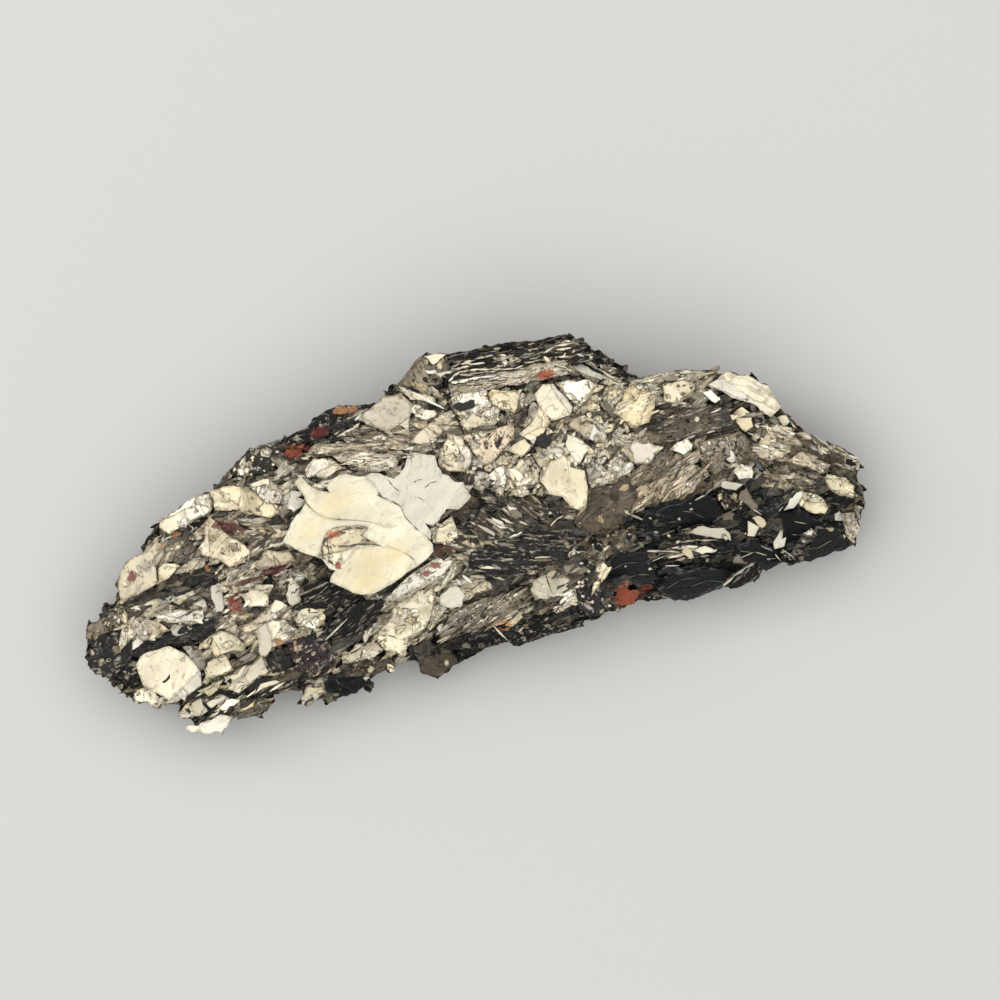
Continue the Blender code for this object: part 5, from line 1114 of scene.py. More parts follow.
def roughness_of(rock, dirt_and_shade):
    rough = rock.math("ADD", rock.fade(rock.gloss, *ROUGH_BY_GLOSS), rock.pattern("dull patch", rock.where))
    return rock.math("ADD", rough, rock.times(dirt_and_shade, DIRT_AND_SHADE_ROUGH), clamp=True)


def relief_of(rock, streak, dirt_and_shade, border):
    lumps = rock.times(rock.noise(rock.where, 0.45, detail=5.0, rough=0.7), LUMPS_HIGH)
    high = rock.math("ADD", lumps, rock.times(streak, STREAKS_HIGH))
    high = rock.math("SUBTRACT", high, rock.times(dirt_and_shade, DIRT_AND_SHADE_DEEP), rock.times(border, BORDER_DEEP))
    return rock.times(high, rock.fade(rock.gloss, *RELIEF_BY_GLOSS))


def lustrous_rock(name, metal, relief, mirror, iron):
    """Cleavage planes: `metal` is how silvery they are, `relief` the bump's height in mm, `mirror` the
    specular level and `iron` whether the stains show."""
    material = bpy.data.materials.new(name)
    material.use_nodes = True
    shader = material.node_tree.nodes["Principled BSDF"].inputs
    rock = RockNodes(material)
    streak = rock.noise(rock.streaky, 0.34, detail=3.5, rough=0.62, warp=0.35)
    dirt_and_shade, border = dirt_of(rock, streak), border_of(rock)

    colour = rimmed(rock, folded(rock, smudged(rock, rock.tint)), border)
    colour = rock.mix(dirt_and_shade, streaked(rock, celled(rock, colour), streak), DIRT_AND_SHADE)
    rock.fill(shader["Base Color"], stained(rock, colour) if iron else colour)
    rock.fill(shader["Roughness"], roughness_of(rock, dirt_and_shade))
    rock.fill(shader["Metallic"], rock.times(rock.math("SUBTRACT", 1.0, dirt_and_shade), metal))
    rock.fill(shader["Specular IOR Level"], mirror)
    rock.fill(shader["Normal"], rock.add("ShaderNodeBump", Strength=BUMP_STRENGTH, Distance=relief * MM,
                                         Height=relief_of(rock, streak, dirt_and_shade, border)))
    print(name, "has", len(material.node_tree.nodes), "nodes")
    return material


LUSTRE = lustrous_rock("cleavage_lustre", 0.10, 0.12, 0.25, iron=True)
DARK_ROCK = lustrous_rock("dark_foliated_rock", 0.0, 0.14, 0.12, iron=False)

# %% [markdown]
# ## The body
# Under the plates the rock is a dark mass of the same leaves, seen mostly in the gaps and on the flanks.
# The solid already has that mass as smooth ledges. A voxel remesh gives it even faces, and then each
# point is pushed along its normal: in bands on the flanks, because leaves end there at different depths,
# and in small flat cells on top. The underside stays level, so the rock still rests on it.

# %% Grow the body
VOXEL = 0.33
DRAWN_IN = 0.14           # the body lies this much inside the solid, so that the plates lie proud
FLOOR_ZONE = 0.5          # below this height nothing moves up or down
LUMPS, BANDS, STEPS = 0.20, 0.55, 0.30       # how far each pattern moves the body
LUMP_SCALE, BAND_SCALES, STEP_SCALES = 0.8, (0.12, 0.12, 1.9), (0.9, 1.2, 0.0)
PIT_DEPTH, PIT_SCALES = 0.45, (0.35, 0.5, 0.0)
UNDERSIDE = -0.7          # a normal's Z below this looks down


def remeshed(bm, voxel):
    """A copy of the bmesh with even, square faces."""
    helper = bpy.data.objects.new("helper", to_mesh(bm.copy(), "helper"))
    bpy.context.scene.collection.objects.link(helper)
    remesh = helper.modifiers.new("even", "REMESH")
    remesh.mode = "VOXEL"
    remesh.voxel_size = voxel
    graph = bpy.context.evaluated_depsgraph_get()
    mesh = bpy.data.meshes.new_from_object(helper.evaluated_get(graph))
    bpy.data.objects.remove(helper)
    grown = bmesh.new()
    grown.from_mesh(mesh)
    bpy.data.meshes.remove(mesh)
    return grown


def body_push(place, normal):
    """How far a point of the body moves outward."""
    side = 1.0 - abs(normal.z)
    lumps = LUMPS * noise.fractal(place * LUMP_SCALE, 0.7, 2.0, 3)
    bands = BANDS * noise.noise(spot(place, BAND_SCALES, 7.0))
    steps = STEPS * noise.cell(spot(place, STEP_SCALES, 5.0)) - STEPS / 2
    return lumps + bands * side + steps * (1.0 - side) - DRAWN_IN


def grow(vert):
    """Moves a point of the body outward, or up into a pit on the underside."""
    push = vert.normal * body_push(vert.co, vert.normal)
    if vert.co.z < FLOOR_ZONE:
        push.z = 0.0
        pit = noise.noise(spot(vert.co, PIT_SCALES, 3.0)) - 0.12
        if vert.normal.z < UNDERSIDE and pit > 0.0:
            push.z = PIT_DEPTH * min(1.0, pit * 5.0)
    vert.co += push
    vert.co.z = max(vert.co.z, 0.0)


body = remeshed(solid, VOXEL)
body.normal_update()
for vert in body.verts:
    grow(vert)
body.normal_update()
print("the body has", len(body.faces), "faces")

# %% [markdown]
# The body's finish follows its surroundings: on top it is a darker version of what its region is made of,
# in small patches, both as the black rock under the plates and as painted shade in the gaps between them;
# on the flanks it changes from band to band.

# %% Shade the body
# how dark the body's top is: the black rock, and painted shade in the gaps between the plates
BODY_BLACK_AND_GAP_SHADE = 0.34
BODY_GRAIN = 20.0
BODY_GLOSS = 0.5          # how much of its finish's gloss the body keeps
UP_FACING = 0.45
PATCH_SCALES, FLANK_SCALES = (0.7, 1.1, 0.0), (0.1, 0.1, 1.6)
FLANK_DARKEST, FLANK_LIGHTEST = 0.2, 2.4
FLANK_RIND = 0.5          # how much of the broken edge's dirt the flanks show


def share_of(mix, place, scales, seed):
    """One of the mix, the same all over a small patch."""
    return mix[int(noise.cell(spot(place, scales, seed)) * len(mix)) % len(mix)]


def body_finish(place, normal):
    """The finish's name and how much lighter or darker it is."""
    if normal.z > UP_FACING:
        return share_of(region_over(place.x, place.y)[0], place, PATCH_SCALES, 2.0), BODY_BLACK_AND_GAP_SHADE
    band = noise.noise(spot(place, FLANK_SCALES, 0.0))
    return "smoke", min(max(0.5 + 3.2 * band, FLANK_DARKEST), FLANK_LIGHTEST)


tint, rind, crack, lie = face_layers(body)
for face in body.faces:
    middle = face.calc_center_median()
    red, green, blue, gloss = toned(*body_finish(middle, face.normal), 0.0)
    face[tint] = (red, green, blue, gloss * BODY_GLOSS)
    face[lie] = grain_vector(region_over(middle.x, middle.y)[1] or BODY_GRAIN, 0.0)
    face[crack] = 1.0
    face[rind] = 0.0 if face.normal.z > UP_FACING else FLANK_RIND
    face.smooth = False
rock = finished_piece("rock_body", body, DARK_ROCK)
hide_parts("specimen")

# %% [markdown]
# ## One plate
# A real plate is a slab that broke off along a ragged line. Its outline starts as a loop of edges. The
# long sides are divided and shaken, so that they wander; then the loop is filled, cut into a grid so that
# its face can be slightly wavy, extruded down, and its upper rim gets a tiny bevel. The bevel is painted
# darker, partly as the shadow line along a plate's edge and partly as its chipped rim. Thin sheets that
# cover a part of a plate are made the same way, from the same outline cut by a line.

# %% Make a slab
STRIDE = 0.55             # the length of a side after it is divided
GRID = 1.1                # how far apart the lines of the grid are, at most and at least
FINE_GRID = 0.35
RIM_BEVEL = 0.05
MANY_CORNERS = 9
CALM = 0.35               # how much of the shaking an outline with many corners gets
RIM_REACH = 0.45          # how far from its outline a plate still counts as rim, in mm, at most
COARSE, COARSE_SHIFT = (0.8, 0.8, 0.0), 0.30
FINE, FINE_SHIFT = (2.7, 2.7, 0.0), 0.16
WAVY = (0.45, 0.45, 0.0)
noise.seed_set(7)         # without it, noise_vector and so the outlines differ from run to run
FACE_UP, SIDE_UP = 0.9, 0.3       # a normal's Z above the first is a plate's face, below the second its side


def wander(place, seed):
    """A small shift in the plane, coarse and fine together."""
    coarse = noise.noise_vector(spot(place, COARSE, seed))
    shift = coarse * COARSE_SHIFT + noise.noise_vector(spot(place, FINE, seed + 9.0)) * FINE_SHIFT
    shift.z = 0.0
    return shift


def outline_loop(points):
    bm = bmesh.new()
    verts = [bm.verts.new((x, y, 0.0)) for x, y in points]
    bm.faces.new(verts)
    return bm


def ragged_face(bm, seed, shake):
    """Divides and shakes the outline of the flat face, and fills it again."""
    bmesh.ops.delete(bm, geom=bm.faces[:], context="FACES_ONLY")
    by_cuts = {}
    for edge in bm.edges:
        by_cuts.setdefault(int(edge.calc_length() / STRIDE), []).append(edge)
    for cuts, edges in by_cuts.items():
        if cuts:
            bmesh.ops.subdivide_edges(bm, edges=edges, cuts=cuts)
    for vert in bm.verts:
        vert.co += wander(vert.co, seed) * shake
    bmesh.ops.edgeloop_fill(bm, edges=bm.edges[:])
    bmesh.ops.recalc_face_normals(bm, faces=bm.faces)
    if bm.faces and sum(face.normal.z for face in bm.faces) < 0.0:
        bmesh.ops.reverse_faces(bm, faces=bm.faces[:])


def cut_along(bm, place, normal, only_one_side=False):
    """Cuts the flat face along a line, and drops what the normal looks to if only one side stays."""
    bmesh.ops.bisect_plane(bm, geom=bm.verts[:] + bm.edges[:] + bm.faces[:], dist=WELD, plane_co=place,
                           plane_no=normal, clear_outer=only_one_side)


def cut_to_grid(bm, step):
    """Cuts the flat face along lines `step` apart, both ways."""
    for axis in (0, 1):
        low = min(vert.co[axis] for vert in bm.verts)
        high = max(vert.co[axis] for vert in bm.verts)
        normal = Vector((1.0 - axis, float(axis), 0.0))
        for line in range(1, int((high - low) / step) + 1):
            cut_along(bm, normal * (low + line * step), normal)


def mark_rim(bm, reach):
    """Writes on every point how near to the outline it is: 1 on it, and 0 from `reach` inward."""
    rim = bm.verts.layers.float.new("rim")
    outline = [vert for vert in bm.verts if vert.is_boundary]
    tree = KDTree(len(outline))
    for number, vert in enumerate(outline):
        tree.insert(vert.co, number)
    tree.balance()
    for vert in bm.verts:
        vert[rim] = max(0.0, 1.0 - tree.find(vert.co)[2] / reach)


def is_upper_rim(edge):
    """True where a plate's face meets its side."""
    ups = [face.normal.z for face in edge.link_faces]
    return len(ups) == 2 and max(ups) > FACE_UP and abs(min(ups)) < SIDE_UP


def slab(points, seed, thick, relief, cut=None, bevel=RIM_BEVEL):
    """A ragged slab with its face near z = 0. `cut` is a line's point and direction: only one side stays.
    An outline with many corners is already ragged, so it is shaken less."""
    bm = outline_loop(points)
    if cut:
        cut_along(bm, *cut, only_one_side=True)
    if not bm.faces:
        return bm
    ragged_face(bm, seed, CALM if len(points) > MANY_CORNERS else 1.0)
    width = math.sqrt(area_of(points))
    cut_to_grid(bm, min(GRID, max(FINE_GRID, width / 4)))
    mark_rim(bm, min(RIM_REACH, width / 6))
    for vert in bm.verts:
        vert.co.z = relief * noise.noise(spot(vert.co, WAVY, seed))
    grown = bmesh.ops.extrude_face_region(bm, geom=bm.faces[:])["geom"]
    root = [part for part in grown if isinstance(part, bmesh.types.BMVert)]
    bmesh.ops.translate(bm, vec=(0.0, 0.0, -thick), verts=root)
    bmesh.ops.recalc_face_normals(bm, faces=bm.faces)
    bmesh.ops.bevel(bm, geom=[edge for edge in bm.edges if is_upper_rim(edge)], offset=bevel,
                    offset_type="OFFSET", affect="EDGES", segments=1, profile=0.5, material=-1,
                    clamp_overlap=True)
    return bm


def tilt(bm, row, lift=0.0):
    """Lays a flat slab on the plate's plane."""
    for vert in bm.verts:
        vert.co.z += plane_height(row, vert.co.x, vert.co.y) + lift


trial = slab(GREAT_PLATE[0][6], 1.0, 0.5, 0.1)
print("the great plate has", len(trial.faces), "faces")
trial.free()

# %% [markdown]
# ## All the plates and their sheets
# Each plate gets up to three sheets, as cleavage leaves them: every sheet covers a part of the one below
# and ends in a thin step. A small plate gets one or none, and a clean great one none, because its sheets
# have rows of their own in the tables.

# %% Lay the plates and sheets
PLATE_LIFT = 0.10
MOST_RISE = 0.5
TOWARDS_CORNER = 0.6      # where between a plate's middle and its corners the solid's height is asked
LARGE, SMALL, UNBROKEN = 20.0, 4.0, 0.1      # two areas in square mm, and how broken a clean plate may be
LARGE_THICK, PLATE_THICK = 0.9, (0.4, 0.8)
SHEET = (0.07, 0.17)      # how thick a sheet is
SHEET_ROOT = 0.05         # how deep a sheet reaches into what is below it
SHEET_EDGE = (0.05, 0.42)     # how far from the middle a sheet ends, as a share of the plate's width


def sheet_count(row, chance):
    size = area_of(row[6])
    if size > LARGE and row[1] < UNBROKEN:
        return 0
    return chance.choice((1, 2, 2, 3)) if size > SMALL else chance.choice((0, 1))


def rise_of(row):
    """How far the solid stands above the plate's plane, because a neighbour overlaps it."""
    middle = middle_of(row[6])
    places = [middle.lerp(Vector(corner), TOWARDS_CORNER) for corner in row[6]]
    hits = [(place, ground_at(*place)) for place in places]
    gaps = sorted(hit.z - plane_height(row, *place) for place, hit in hits if hit)
    return min(max(gaps[len(gaps) // 2], 0.0), MOST_RISE) if gaps else 0.0


def layers_of(row, chance):
    """The plate and its sheets, from below: the line that cuts each, its thickness and its height."""
    width = math.sqrt(area_of(row[6]))
    lift = PLATE_LIFT + rise_of(row)
    layers = [(None, LARGE_THICK if area_of(row[6]) > LARGE else chance.uniform(*PLATE_THICK), lift)]
    for _ in range(sheet_count(row, chance)):
        turn = chance.uniform(0.0, math.tau)
        line = Vector((math.cos(turn), math.sin(turn), 0.0))
        edge = middle_of(row[6]).to_3d() + line * chance.uniform(*SHEET_EDGE) * width
        thick = chance.uniform(*SHEET)
        lift += thick
        layers.append(((edge, line), thick + SHEET_ROOT, lift))
    return layers


def lay_plates(chance):
    heap = bmesh.new()
    for number, row in enumerate(PLATES):
        finish, broken, grain, _, _, _, points = row
        relief = 0.05 + 0.012 * math.sqrt(area_of(points))
        for layer, (cut, thick, top) in enumerate(layers_of(row, chance)):
            bm = slab(points, number * 3.1 + layer * 0.37, thick, relief, cut)
            if bm.faces:
                shade_faces(bm, finish, broken, chance, 0.08 if layer else 0.05, grain)
                tilt(bm, row, top)
            add_mesh(heap, to_mesh(bm, "plate"))
    return heap


plate_heap = lay_plates(random.Random(7))
print("plates and sheets have", len(plate_heap.faces), "faces")

# %% [markdown]
# Everything that follows lies on what is there by now: on a plate or on the body. The solid and the plates
# together make the skin, and a ray from above finds its height and slope at any place.

# %% The skin so far
solid_mesh = bpy.data.meshes.new("solid")
solid.to_mesh(solid_mesh)
skin_heap = plate_heap.copy()
add_mesh(skin_heap, solid_mesh)
skin = BVHTree.FromBMesh(skin_heap)
skin_heap.free()


def skin_at(x, y):
    """The place and slope of the skin at a point of the plan, or None and None beside the rock."""
    place, normal, _, _ = skin.ray_cast(Vector((x, y, SKY)), DOWN)
    return (place, normal) if place else (None, None)


def on_the_rock(x, y, shape, size, spin):
    """True if both ends and both sides of a flake at this place still lie over the rock."""
    reach_x, reach_y = (size * max(vert.co[axis] for vert in shape.vertices) for axis in (0, 1))
    along = Vector((math.cos(spin), math.sin(spin)))
    across = Vector((-along.y, along.x))
    steps = (along * reach_x, along * -reach_x, across * reach_y, across * -reach_y)
    return all(ground_at(x + step.x, y + step.y) for step in steps)


finished_piece("cleavage_plates", plate_heap, LUSTRE)

# %% [markdown]
# ## Small flakes
# The small flakes are too many to shape one by one, so a small stock is cut first, all about two
# millimetres across and one thick, and then stamped with different sizes, turns and tilts. A flake is a
# circle that a few slow waves pull out of round; its ends taper and curl, and some carry a second layer.

# %% Cut a stock of flakes
UPPER_SMALLER = 0.35      # how much smaller and how far off the second layer is
UPPER_SHIFT = (0.3, 0.25, 0.5)
WAVES, WAVE_REACH = 4, 0.16
REACH, UNEVEN = 0.84, (0.88, 1.08)
TAPER = 0.35              # how much narrower a flake is at its ends
CURL = (-0.5, 0.9)
NOTCH = 0.6
FLAKE_DEEP, DEEP_WAVE = 0.85, 0.4


def shape_ring(ring, chance):
    """Pulls a circle out of round, narrows and curls its ends, and gives back the waves' turns."""
    waves = [(chance.uniform(0.0, WAVE_REACH), chance.uniform(0.0, math.tau)) for _ in range(WAVES)]
    curl = chance.uniform(*CURL)
    for vert in ring:
        angle = math.atan2(vert.co.y, vert.co.x)
        pulls = (size * math.cos((k + 1) * angle + turn) for k, (size, turn) in enumerate(waves))
        vert.co *= (REACH + sum(pulls)) * chance.uniform(*UNEVEN)
        vert.co.y *= 1.0 - TAPER * abs(vert.co.x)
        vert.co.z += curl * vert.co.x * vert.co.x
    chance.choice(ring).co *= NOTCH
    return [turn for _, turn in waves]


def thicken(bm, disk, turn):
    """Extrudes the disk down, more deeply in some directions than in others."""
    cap = list({face for vert in disk for face in vert.link_faces})
    for part in bmesh.ops.extrude_face_region(bm, geom=cap)["geom"]:
        if isinstance(part, bmesh.types.BMVert):
            angle = math.atan2(part.co.y, part.co.x)
            part.co.z -= FLAKE_DEEP + DEEP_WAVE * math.cos(2 * angle + turn)


def flake(chance, corners, long, layers=0.4, rim_shade_and_dirt=1.0):
    """A thin leaf, two across and one thick, with a wandering outline, stretched by `long`. The last
    argument is how dark its rim gets, painted shade and dirt together, and `layers` how likely a second
    layer is."""
    bm = bmesh.new()
    rim = bm.verts.layers.float.new("rim")
    for layer in range(1 + (chance.random() < layers)):
        disk = bmesh.ops.create_circle(bm, cap_ends=True, cap_tris=True, segments=corners,
                                       radius=1.0 - UPPER_SMALLER * layer)["verts"]
        ring = [vert for vert in disk if vert.is_boundary]
        for vert in ring:
            vert[rim] = rim_shade_and_dirt
        turns = shape_ring(ring, chance)
        aside_x, aside_y, up = UPPER_SHIFT
        bmesh.ops.translate(bm, verts=disk, vec=(layer * chance.uniform(-aside_x, aside_x),
                                                 layer * chance.uniform(-aside_y, aside_y), layer * up))
        thicken(bm, disk, turns[1])
    bmesh.ops.scale(bm, vec=(long, 1.0, 1.0), verts=bm.verts)
    bmesh.ops.recalc_face_normals(bm, faces=bm.faces)
    shade_faces(bm, "black", 0.5, chance, grain=0.0)
    return to_mesh(bm, "flake")


stock = random.Random(3)
CHIPS = [flake(stock, stock.choice((7, 8, 9)), stock.uniform(1.0, 1.6)) for _ in range(30)]
LEAVES = [flake(stock, stock.choice((10, 11, 12)), stock.uniform(1.2, 2.2)) for _ in range(30)]
SLENDER = [flake(stock, stock.choice((10, 12)), stock.uniform(2.0, 4.5)) for _ in range(36)]
SPLINTERS = [flake(stock, 8, stock.uniform(3.5, 9.0), layers=0.0, rim_shade_and_dirt=0.5) for _ in range(20)]
NEEDLE_STOCK = [flake(stock, 8, 1.0, layers=0.0, rim_shade_and_dirt=0.0) for _ in range(8)]
print(len(CHIPS) + len(LEAVES) + len(SLENDER) + len(SPLINTERS), "flakes in stock")

# %% [markdown]
# A stamp sets a copy of a flake in its place. It has its attributes already, so only their values change.
# No flake lies quite like the next, so most of them lean a little.

# %% Stamp a flake
LIGHTER, WARMER = (0.8, 1.15), (-0.05, 0.05)


def stamp(heap, shape, place, normal, spin, sizes, finish, chance, broken):
    """Adds one flake whose face looks along `normal`. `spin` turns it about that normal, and `sizes` are
    half its length, half its width and its thickness."""
    turned = normal.to_track_quat("Z", "Y").to_matrix().to_4x4()
    around = Matrix.Rotation(spin - math.atan2(turned[1][0], turned[0][0]), 4, "Z")
    mesh = shape.copy()
    mesh.transform(Matrix.Translation(place) @ turned @ around @ Matrix.Diagonal((*sizes, 1.0)))
    colour = toned(finish, chance.uniform(*LIGHTER), chance.uniform(*WARMER))
    lie = (math.cos(spin), math.sin(spin), chance.random())
    count = len(mesh.polygons)
    for name, kind, value in (("tint", "color", colour), ("broken", "value", (broken,)),
                              ("grain", "vector", lie)):
        mesh.attributes[name].data.foreach_set(kind, value * count)
    add_mesh(heap, mesh)


def leaning(normal, degrees, chance):
    """The normal, tipped a random way by up to so many degrees."""
    tip = math.tan(math.radians(chance.uniform(0.0, degrees)))
    way = chance.uniform(0.0, math.tau)
    return (normal + Vector((math.cos(way), math.sin(way), 0.0)) * tip).normalized()


print("the first chip has", len(CHIPS[0].polygons), "faces")

# %% [markdown]
# Crumbs lie on every plate but the cleanest, more of them where it is more broken. Where a plate has a
# grain, most of them are splinters that lie along it, as on the knob and the east end.

# %% Scatter crumbs on the plates
CRUMBS_PER_MM2, NO_CRUMBS = 3.4, 0.08        # a plate that is less broken than the second gets no crumbs
ALONG_GRAIN = 0.8         # the share of the crumbs that lie along the grain
SPLINTER_SIZE, CRUMB_THICK = (0.08, 0.22), (0.1, 0.3)
LEAST_CRUMB, CRUMB_RANGE = 0.12, 0.5
BURIED = 0.7              # where so much lies above the plate's plane, it is hidden
CRUMB_LIFT = (0.0, 0.14)
HIGHEST = (TO_PLAN @ cad_high).z + 0.1


def crumb(heap, row, normal, x, y, chance):
    """Lays one crumb on the plate, if there is room for it, and says whether it did."""
    finish, broken, grain, _, _, _, points = row
    if not inside(points, x, y) or on_a_feature(x, y):
        return False
    along = grain is not None and chance.random() < ALONG_GRAIN
    shape = chance.choice(SPLINTERS if along else CHIPS)
    size = chance.uniform(*SPLINTER_SIZE) if along else LEAST_CRUMB + CRUMB_RANGE * chance.random() ** 2.2
    spin = math.radians(grain + chance.gauss(0.0, 7.0)) if along else chance.uniform(0, math.tau)
    below = skin_at(x, y)[0]
    if below is None or below.z > plane_height(row, x, y) + BURIED:
        return False
    top = min(below.z + chance.uniform(*CRUMB_LIFT), HIGHEST)
    if not on_the_rock(x, y, shape, size, spin):
        return False
    face = leaning(normal, 3.0 + 9.0 * broken, chance)
    sizes = (size, size, chance.uniform(*CRUMB_THICK))
    stamp(heap, shape, Vector((x, y, top)), face, spin, sizes, chance.choice(CRUMBS[finish]), chance, broken)
    return True


def scatter_on_plates(chance):
    heap = bmesh.new()
    laid = 0
    for row, (west, east, south, north) in zip(PLATES, BOXES):
        slope = slope_of(row[4], row[5])
        normal = Vector((slope.x, slope.y, 1.0)).normalized()
        tries = (east - west) * (north - south) * max(row[1] - NO_CRUMBS, 0.0) * CRUMBS_PER_MM2
        for _ in range(int(tries)):
            x, y = chance.uniform(west, east), chance.uniform(south, north)
            laid += crumb(heap, row, normal, x, y, chance)
    print(laid, "crumbs")
    return heap


finished_piece("plate_crumbs", scatter_on_plates(random.Random(23)), LUSTRE)

# %% [markdown]
# Between the plates and down the flanks the rock shows the broken ends of its leaves. They are stamped
# where a random place on the solid's surface happens to be: lying chips where it faces up, and on the
# flanks thin level leaves that stick out a little, one above the other.

# %% Random places on the solid
def random_places(count, chance, wanted):
    """Places on the faces that `wanted` accepts, spread evenly over their area."""
    faces = [face for face in solid.faces if wanted(face)]
    areas = [face.calc_area() for face in faces]
    for face in chance.choices(faces, weights=areas, k=count):
        a, b, c = (loop.vert.co for loop in face.loops)
        u, v = chance.random(), chance.random()
        if u + v > 1.0:
            u, v = 1.0 - u, 1.0 - v
        yield a + (b - a) * u + (c - a) * v, face.normal.copy()


# %% [markdown]
# A leaf lies along the flank with most of its width inside the rock, and looks up, tipped a little out.

# %% Leaves on the flanks
LEAF_COUNT = 4300
LEAF_FLOOR = 0.35         # no leaf lies lower than this
STEEP_FLANK = 0.55
LEAST_LEAF, LEAF_RANGE, LEAF_THICK = 0.20, 0.5, (0.04, 0.15)
LEAF_LONG, LEAF_WIDE = 1.2, 0.9
ROOTED = (0.6, 0.9)       # the share of a leaf's size that is inside the rock
STAND_OUT = 0.05          # how far a leaf's middle may come out again
TIPPED = 0.12


def leaves_on_flanks(chance):
    heap = bmesh.new()
    laid = 0
    for place, normal in random_places(LEAF_COUNT, chance, lambda face: abs(face.normal.z) < STEEP_FLANK):
        if place.z < LEAF_FLOOR:
            continue
        outward = Vector((normal.x, normal.y, 0.0)).normalized()
        size = LEAST_LEAF + LEAF_RANGE * chance.random() ** 1.8
        thick = chance.uniform(*LEAF_THICK)
        middle = place - outward * (size * chance.uniform(*ROOTED) - STAND_OUT * chance.random())
        face = leaning(Vector((outward.x * TIPPED, outward.y * TIPPED, 1.0)).normalized(), 9.0, chance)
        spin = math.atan2(outward.y, outward.x) + math.pi / 2 + chance.gauss(0.0, 0.2)
        stamp(heap, chance.choice(CHIPS), middle, face, spin, (size * LEAF_LONG, size * LEAF_WIDE, thick),
              chance.choice(CRUMBS["flank"]), chance, 0.4)
        laid += 1
    print(laid, "leaves")
    return heap


finished_piece("edge_leaves", leaves_on_flanks(random.Random(31)), DARK_ROCK)

# %% [markdown]
# The mosaic between the plates is a heap of shingles: thin, ragged leaves, longer than wide, that lie
# almost flat over each other. Each takes one of its region's finishes. Neighbours often share one, because
# they are pieces of one broken plate, so the choice follows a slow pattern more often than pure chance.

# %% Lay the shingles
SHINGLES_PER_MM2 = 3.1
UP_SIDE = 0.3             # a normal's Z above this belongs to the top
COVER_GAP = 0.60          # closer than this to a plate's plane, a place counts as being on that plate
ON_A_PLATE = 0.30         # how likely a shingle is on a plate that is all crumbs
LEAST_SHINGLE, SHINGLE_RANGE, SHINGLE_THICK = 0.24, 0.85, (0.10, 0.28)
UNDER_LIFT = -0.04        # a shingle that reaches a clean plate slips under it
LIFT, LIFT_BY_SIZE, LIFT_VARIES = 0.26, 0.3, 0.06
MOST_DROP, SHORTER = 0.9, 0.4     # where the ground under an end lies deeper, a shingle is this much shorter
SHARED, SHARED_SCALES = 0.55, (0.42, 0.7, 0.0)


def pick(mix, place, chance):
    """One finish of the mix, shared with the neighbours more often than not."""
    return share_of(mix, place, SHARED_SCALES, 11.0) if chance.random() < SHARED else chance.choice(mix)


def shingle(heap, place, normal, chance):
    """Lays one shingle, if there is room for it, and says whether it did."""
    row = plate_over(place.x, place.y)
    covered = row is not None and abs(plane_height(row, place.x, place.y) - place.z) < COVER_GAP
    if (covered and chance.random() > ON_A_PLATE * row[1]) or on_a_feature(place.x, place.y):
        return False
    mix, grain = region_over(place.x, place.y)
    size = LEAST_SHINGLE + SHINGLE_RANGE * chance.random() ** 1.8
    if covered:
        mix, grain, size = CRUMBS[row[0]], row[2], size * 0.5
    shape = chance.choice(LEAVES if grain is None else SLENDER)
    spin = chance.uniform(0, math.tau) if grain is None else math.radians(grain + chance.gauss(0, 15))
    if not on_the_rock(place.x, place.y, shape, size, spin):
        return False
    reach = size * max(vert.co.x for vert in shape.vertices)
    ends = [(place.x + side * reach * math.cos(spin), place.y + side * reach * math.sin(spin))
            for side in (-1, 1)]
    feet = [foot.z for foot in (skin_at(x, y)[0] for x, y in ends) if foot]
    if min(feet) < place.z - MOST_DROP:
        size *= SHORTER
    under = any(is_clean(x, y) for x, y in ends)
    lift = UNDER_LIFT if under else LIFT - LIFT_BY_SIZE * size + chance.uniform(-LIFT_VARIES, LIFT_VARIES)
    face = leaning(normal, 3.0 if under else 9.0, chance)
    sizes = (size, size, chance.uniform(*SHINGLE_THICK))
    stamp(heap, shape, place + normal * lift, face, spin, sizes, pick(mix, place, chance), chance, 0.28)
    return True


def shingles(chance, west, east):
    """The mosaic between two places along X, which keeps each piece to a fair size."""
    def wanted(face):
        return face.normal.z > UP_SIDE and west <= face.calc_center_median().x < east

    heap = bmesh.new()
    area = sum(face.calc_area() for face in solid.faces if wanted(face))
    places = random_places(int(area * SHINGLES_PER_MM2), chance, wanted)
    print(sum(shingle(heap, place, normal, chance) for place, normal in places), "shingles")
    return heap


finished_piece("mosaic_west", shingles(random.Random(57), -50.0, -14.0), LUSTRE)
finished_piece("mosaic_middle", shingles(random.Random(58), -14.0, 12.0), LUSTRE)
finished_piece("mosaic_east", shingles(random.Random(59), 12.0, 50.0), LUSTRE)

# %% [markdown]
# The small features lie on whatever is under them. A needle is a row of splinters from corner to corner,
# and a hairline crack is a black one that barely shows above the plate.

# %% Set the small features
FEATURE_LIFT = {True: 0.03, False: 0.38}     # on a clean plate, and among flakes
DARK_LIFT = {True: 0.02, False: 0.16}
NEEDLE_THICK = {True: 0.08, False: 0.30}
NEEDLE_OVERLAP = 1.4      # a needle is this much longer than the way between its ends, so that runs join
CHIP_THICK, CHIP_RELIEF, CHIP_BEVEL = 0.4, 0.04, 0.03
GRAIN_THICK = 0.35
DARK = ("black", "brown", "smoke")


def lift_of(finish, x, y):
    """How far a feature stands above the skin. A dark one lies lower, like a hole between the others."""
    return (DARK_LIFT if finish in DARK else FEATURE_LIFT)[is_clean(x, y)]


def lay_flat(bm, middle, finish):
    """Lays a flat slab on the slope at `middle`."""
    place, normal = skin_at(*middle)
    slope = Vector((-normal.x, -normal.y)) / max(normal.z, 0.5)
    for vert in bm.verts:
        vert.co.z += place.z + lift_of(finish, *middle) + slope.dot(vert.co.to_2d() - middle)


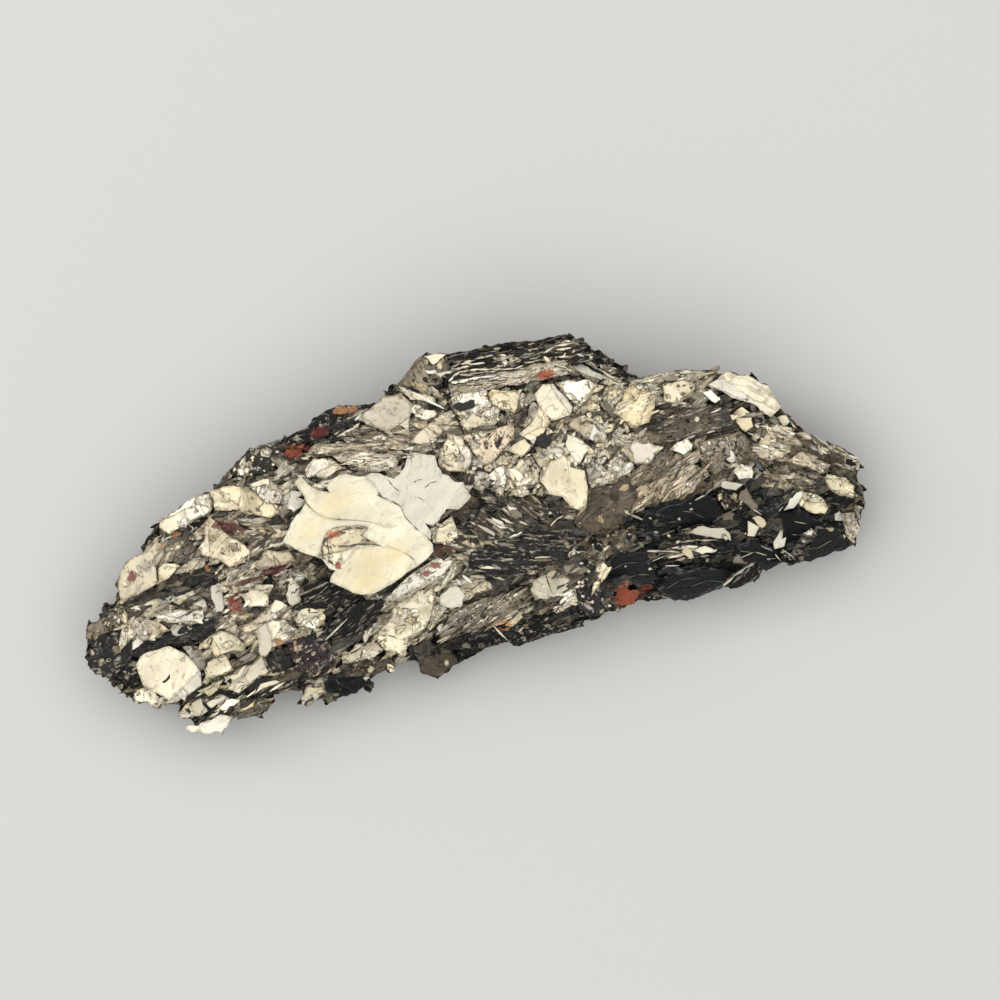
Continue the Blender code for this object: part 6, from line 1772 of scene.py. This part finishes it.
def set_needle(heap, finish, width, start, end, chance):
    run, middle = end - start, (start + end) / 2
    place, normal = skin_at(*middle)
    if place:
        sizes = (run.length / 2 * NEEDLE_OVERLAP, width / 2, NEEDLE_THICK[is_clean(*middle)])
        stamp(heap, chance.choice(NEEDLE_STOCK), place + Vector((0, 0, lift_of(finish, *middle))), normal,
              math.atan2(run.y, run.x), sizes, finish, chance, 0.1)


def set_grain(heap, finish, radius, x, y, chance):
    place, normal = skin_at(x, y)
    if place:
        stamp(heap, chance.choice(CHIPS), place + Vector((0, 0, FEATURE_LIFT[is_clean(x, y)])), normal,
              chance.uniform(0, math.tau), (radius, radius, GRAIN_THICK), finish, chance, 0.2)


def set_features(chance):
    heap = bmesh.new()
    for number, (finish, points) in enumerate(SMALL_PLATES):
        bm = slab(points, 400.0 + number, CHIP_THICK, CHIP_RELIEF, bevel=CHIP_BEVEL)
        shade_faces(bm, finish, 0.06, chance)
        lay_flat(bm, middle_of(points), finish)
        add_mesh(heap, to_mesh(bm, "small_plate"))
    for finish, width, corners in NEEDLES:
        for start, end in zip(corners, corners[1:]):
            set_needle(heap, finish, width, Vector(start), Vector(end), chance)
    for finish, radius, spots in GRAINS:
        for x, y in spots:
            set_grain(heap, finish, radius, x, y, chance)
    return heap


finished_piece("small_features", set_features(random.Random(77)), LUSTRE)

# %% [markdown]
# ## Stage, light and camera
# The floor is plain and pale. One large soft light hangs right above the rock, so that level plates and
# gently dipping ones light up alike, while the steep glassy ones stay black. The camera looks straight
# down through a long lens, turned so that the rock lies across the picture from lower left to upper right.

# %% Floor
FLOOR_WIDE = 3.0
FLOOR_COLOUR, FLOOR_ROUGH = (0.62, 0.61, 0.59, 1.0), 0.9
bpy.ops.mesh.primitive_plane_add(size=FLOOR_WIDE)
floor = bpy.context.object
floor.name = "floor"
paper = bpy.data.materials.new("pale_floor")
paper.use_nodes = True
sockets = paper.node_tree.nodes["Principled BSDF"].inputs
sockets["Base Color"].default_value = FLOOR_COLOUR
sockets["Roughness"].default_value = FLOOR_ROUGH
floor.data.materials.append(paper)
print("the floor is", FLOOR_WIDE, "m wide")

# %% Lights
def soft_light(name, place, size, power):
    light = bpy.data.lights.new(name, "AREA")
    light.shape = "DISK"
    light.size = size
    light.energy = power
    lamp = bpy.data.objects.new(name, light)
    lamp.location = place
    lamp.rotation_euler = (-Vector(place)).to_track_quat("-Z", "Y").to_euler()
    bpy.context.scene.collection.objects.link(lamp)


SKY_COLOUR, SKY_STRENGTH = (0.95, 0.98, 1.0, 1.0), 0.22
soft_light("overhead", (-0.05, 0.02, 0.80), size=1.5, power=10.3)
soft_light("side", (-0.45, 0.35, 0.45), size=0.30, power=0.7)
studio = bpy.data.worlds.new("studio")
studio.use_nodes = True
sockets = studio.node_tree.nodes["Background"].inputs
sockets["Color"].default_value = SKY_COLOUR
sockets["Strength"].default_value = SKY_STRENGTH
bpy.context.scene.world = studio
bpy.context.scene.view_settings.view_transform = "Standard"
print("two lights under a faint sky")


# %% Camera
FIELD = 100.0             # millimetres of the plan across the picture
DISTANCE = 1200.0
TURN = -14.0
LOOK_AT = Vector((4.12, 1.50, 10.0))
lens = bpy.data.cameras.new("camera")
lens.sensor_width = 36.0
lens.lens = lens.sensor_width * DISTANCE / FIELD
lens.clip_start = 0.01
camera = bpy.data.objects.new("camera", lens)
camera.location = TO_METRES @ (LOOK_AT + Vector((0.0, 0.0, DISTANCE)))
camera.rotation_euler = (0.0, 0.0, math.radians(TURN))
bpy.context.scene.collection.objects.link(camera)
bpy.context.scene.camera = camera
print("the lens has", round(lens.lens), "mm")
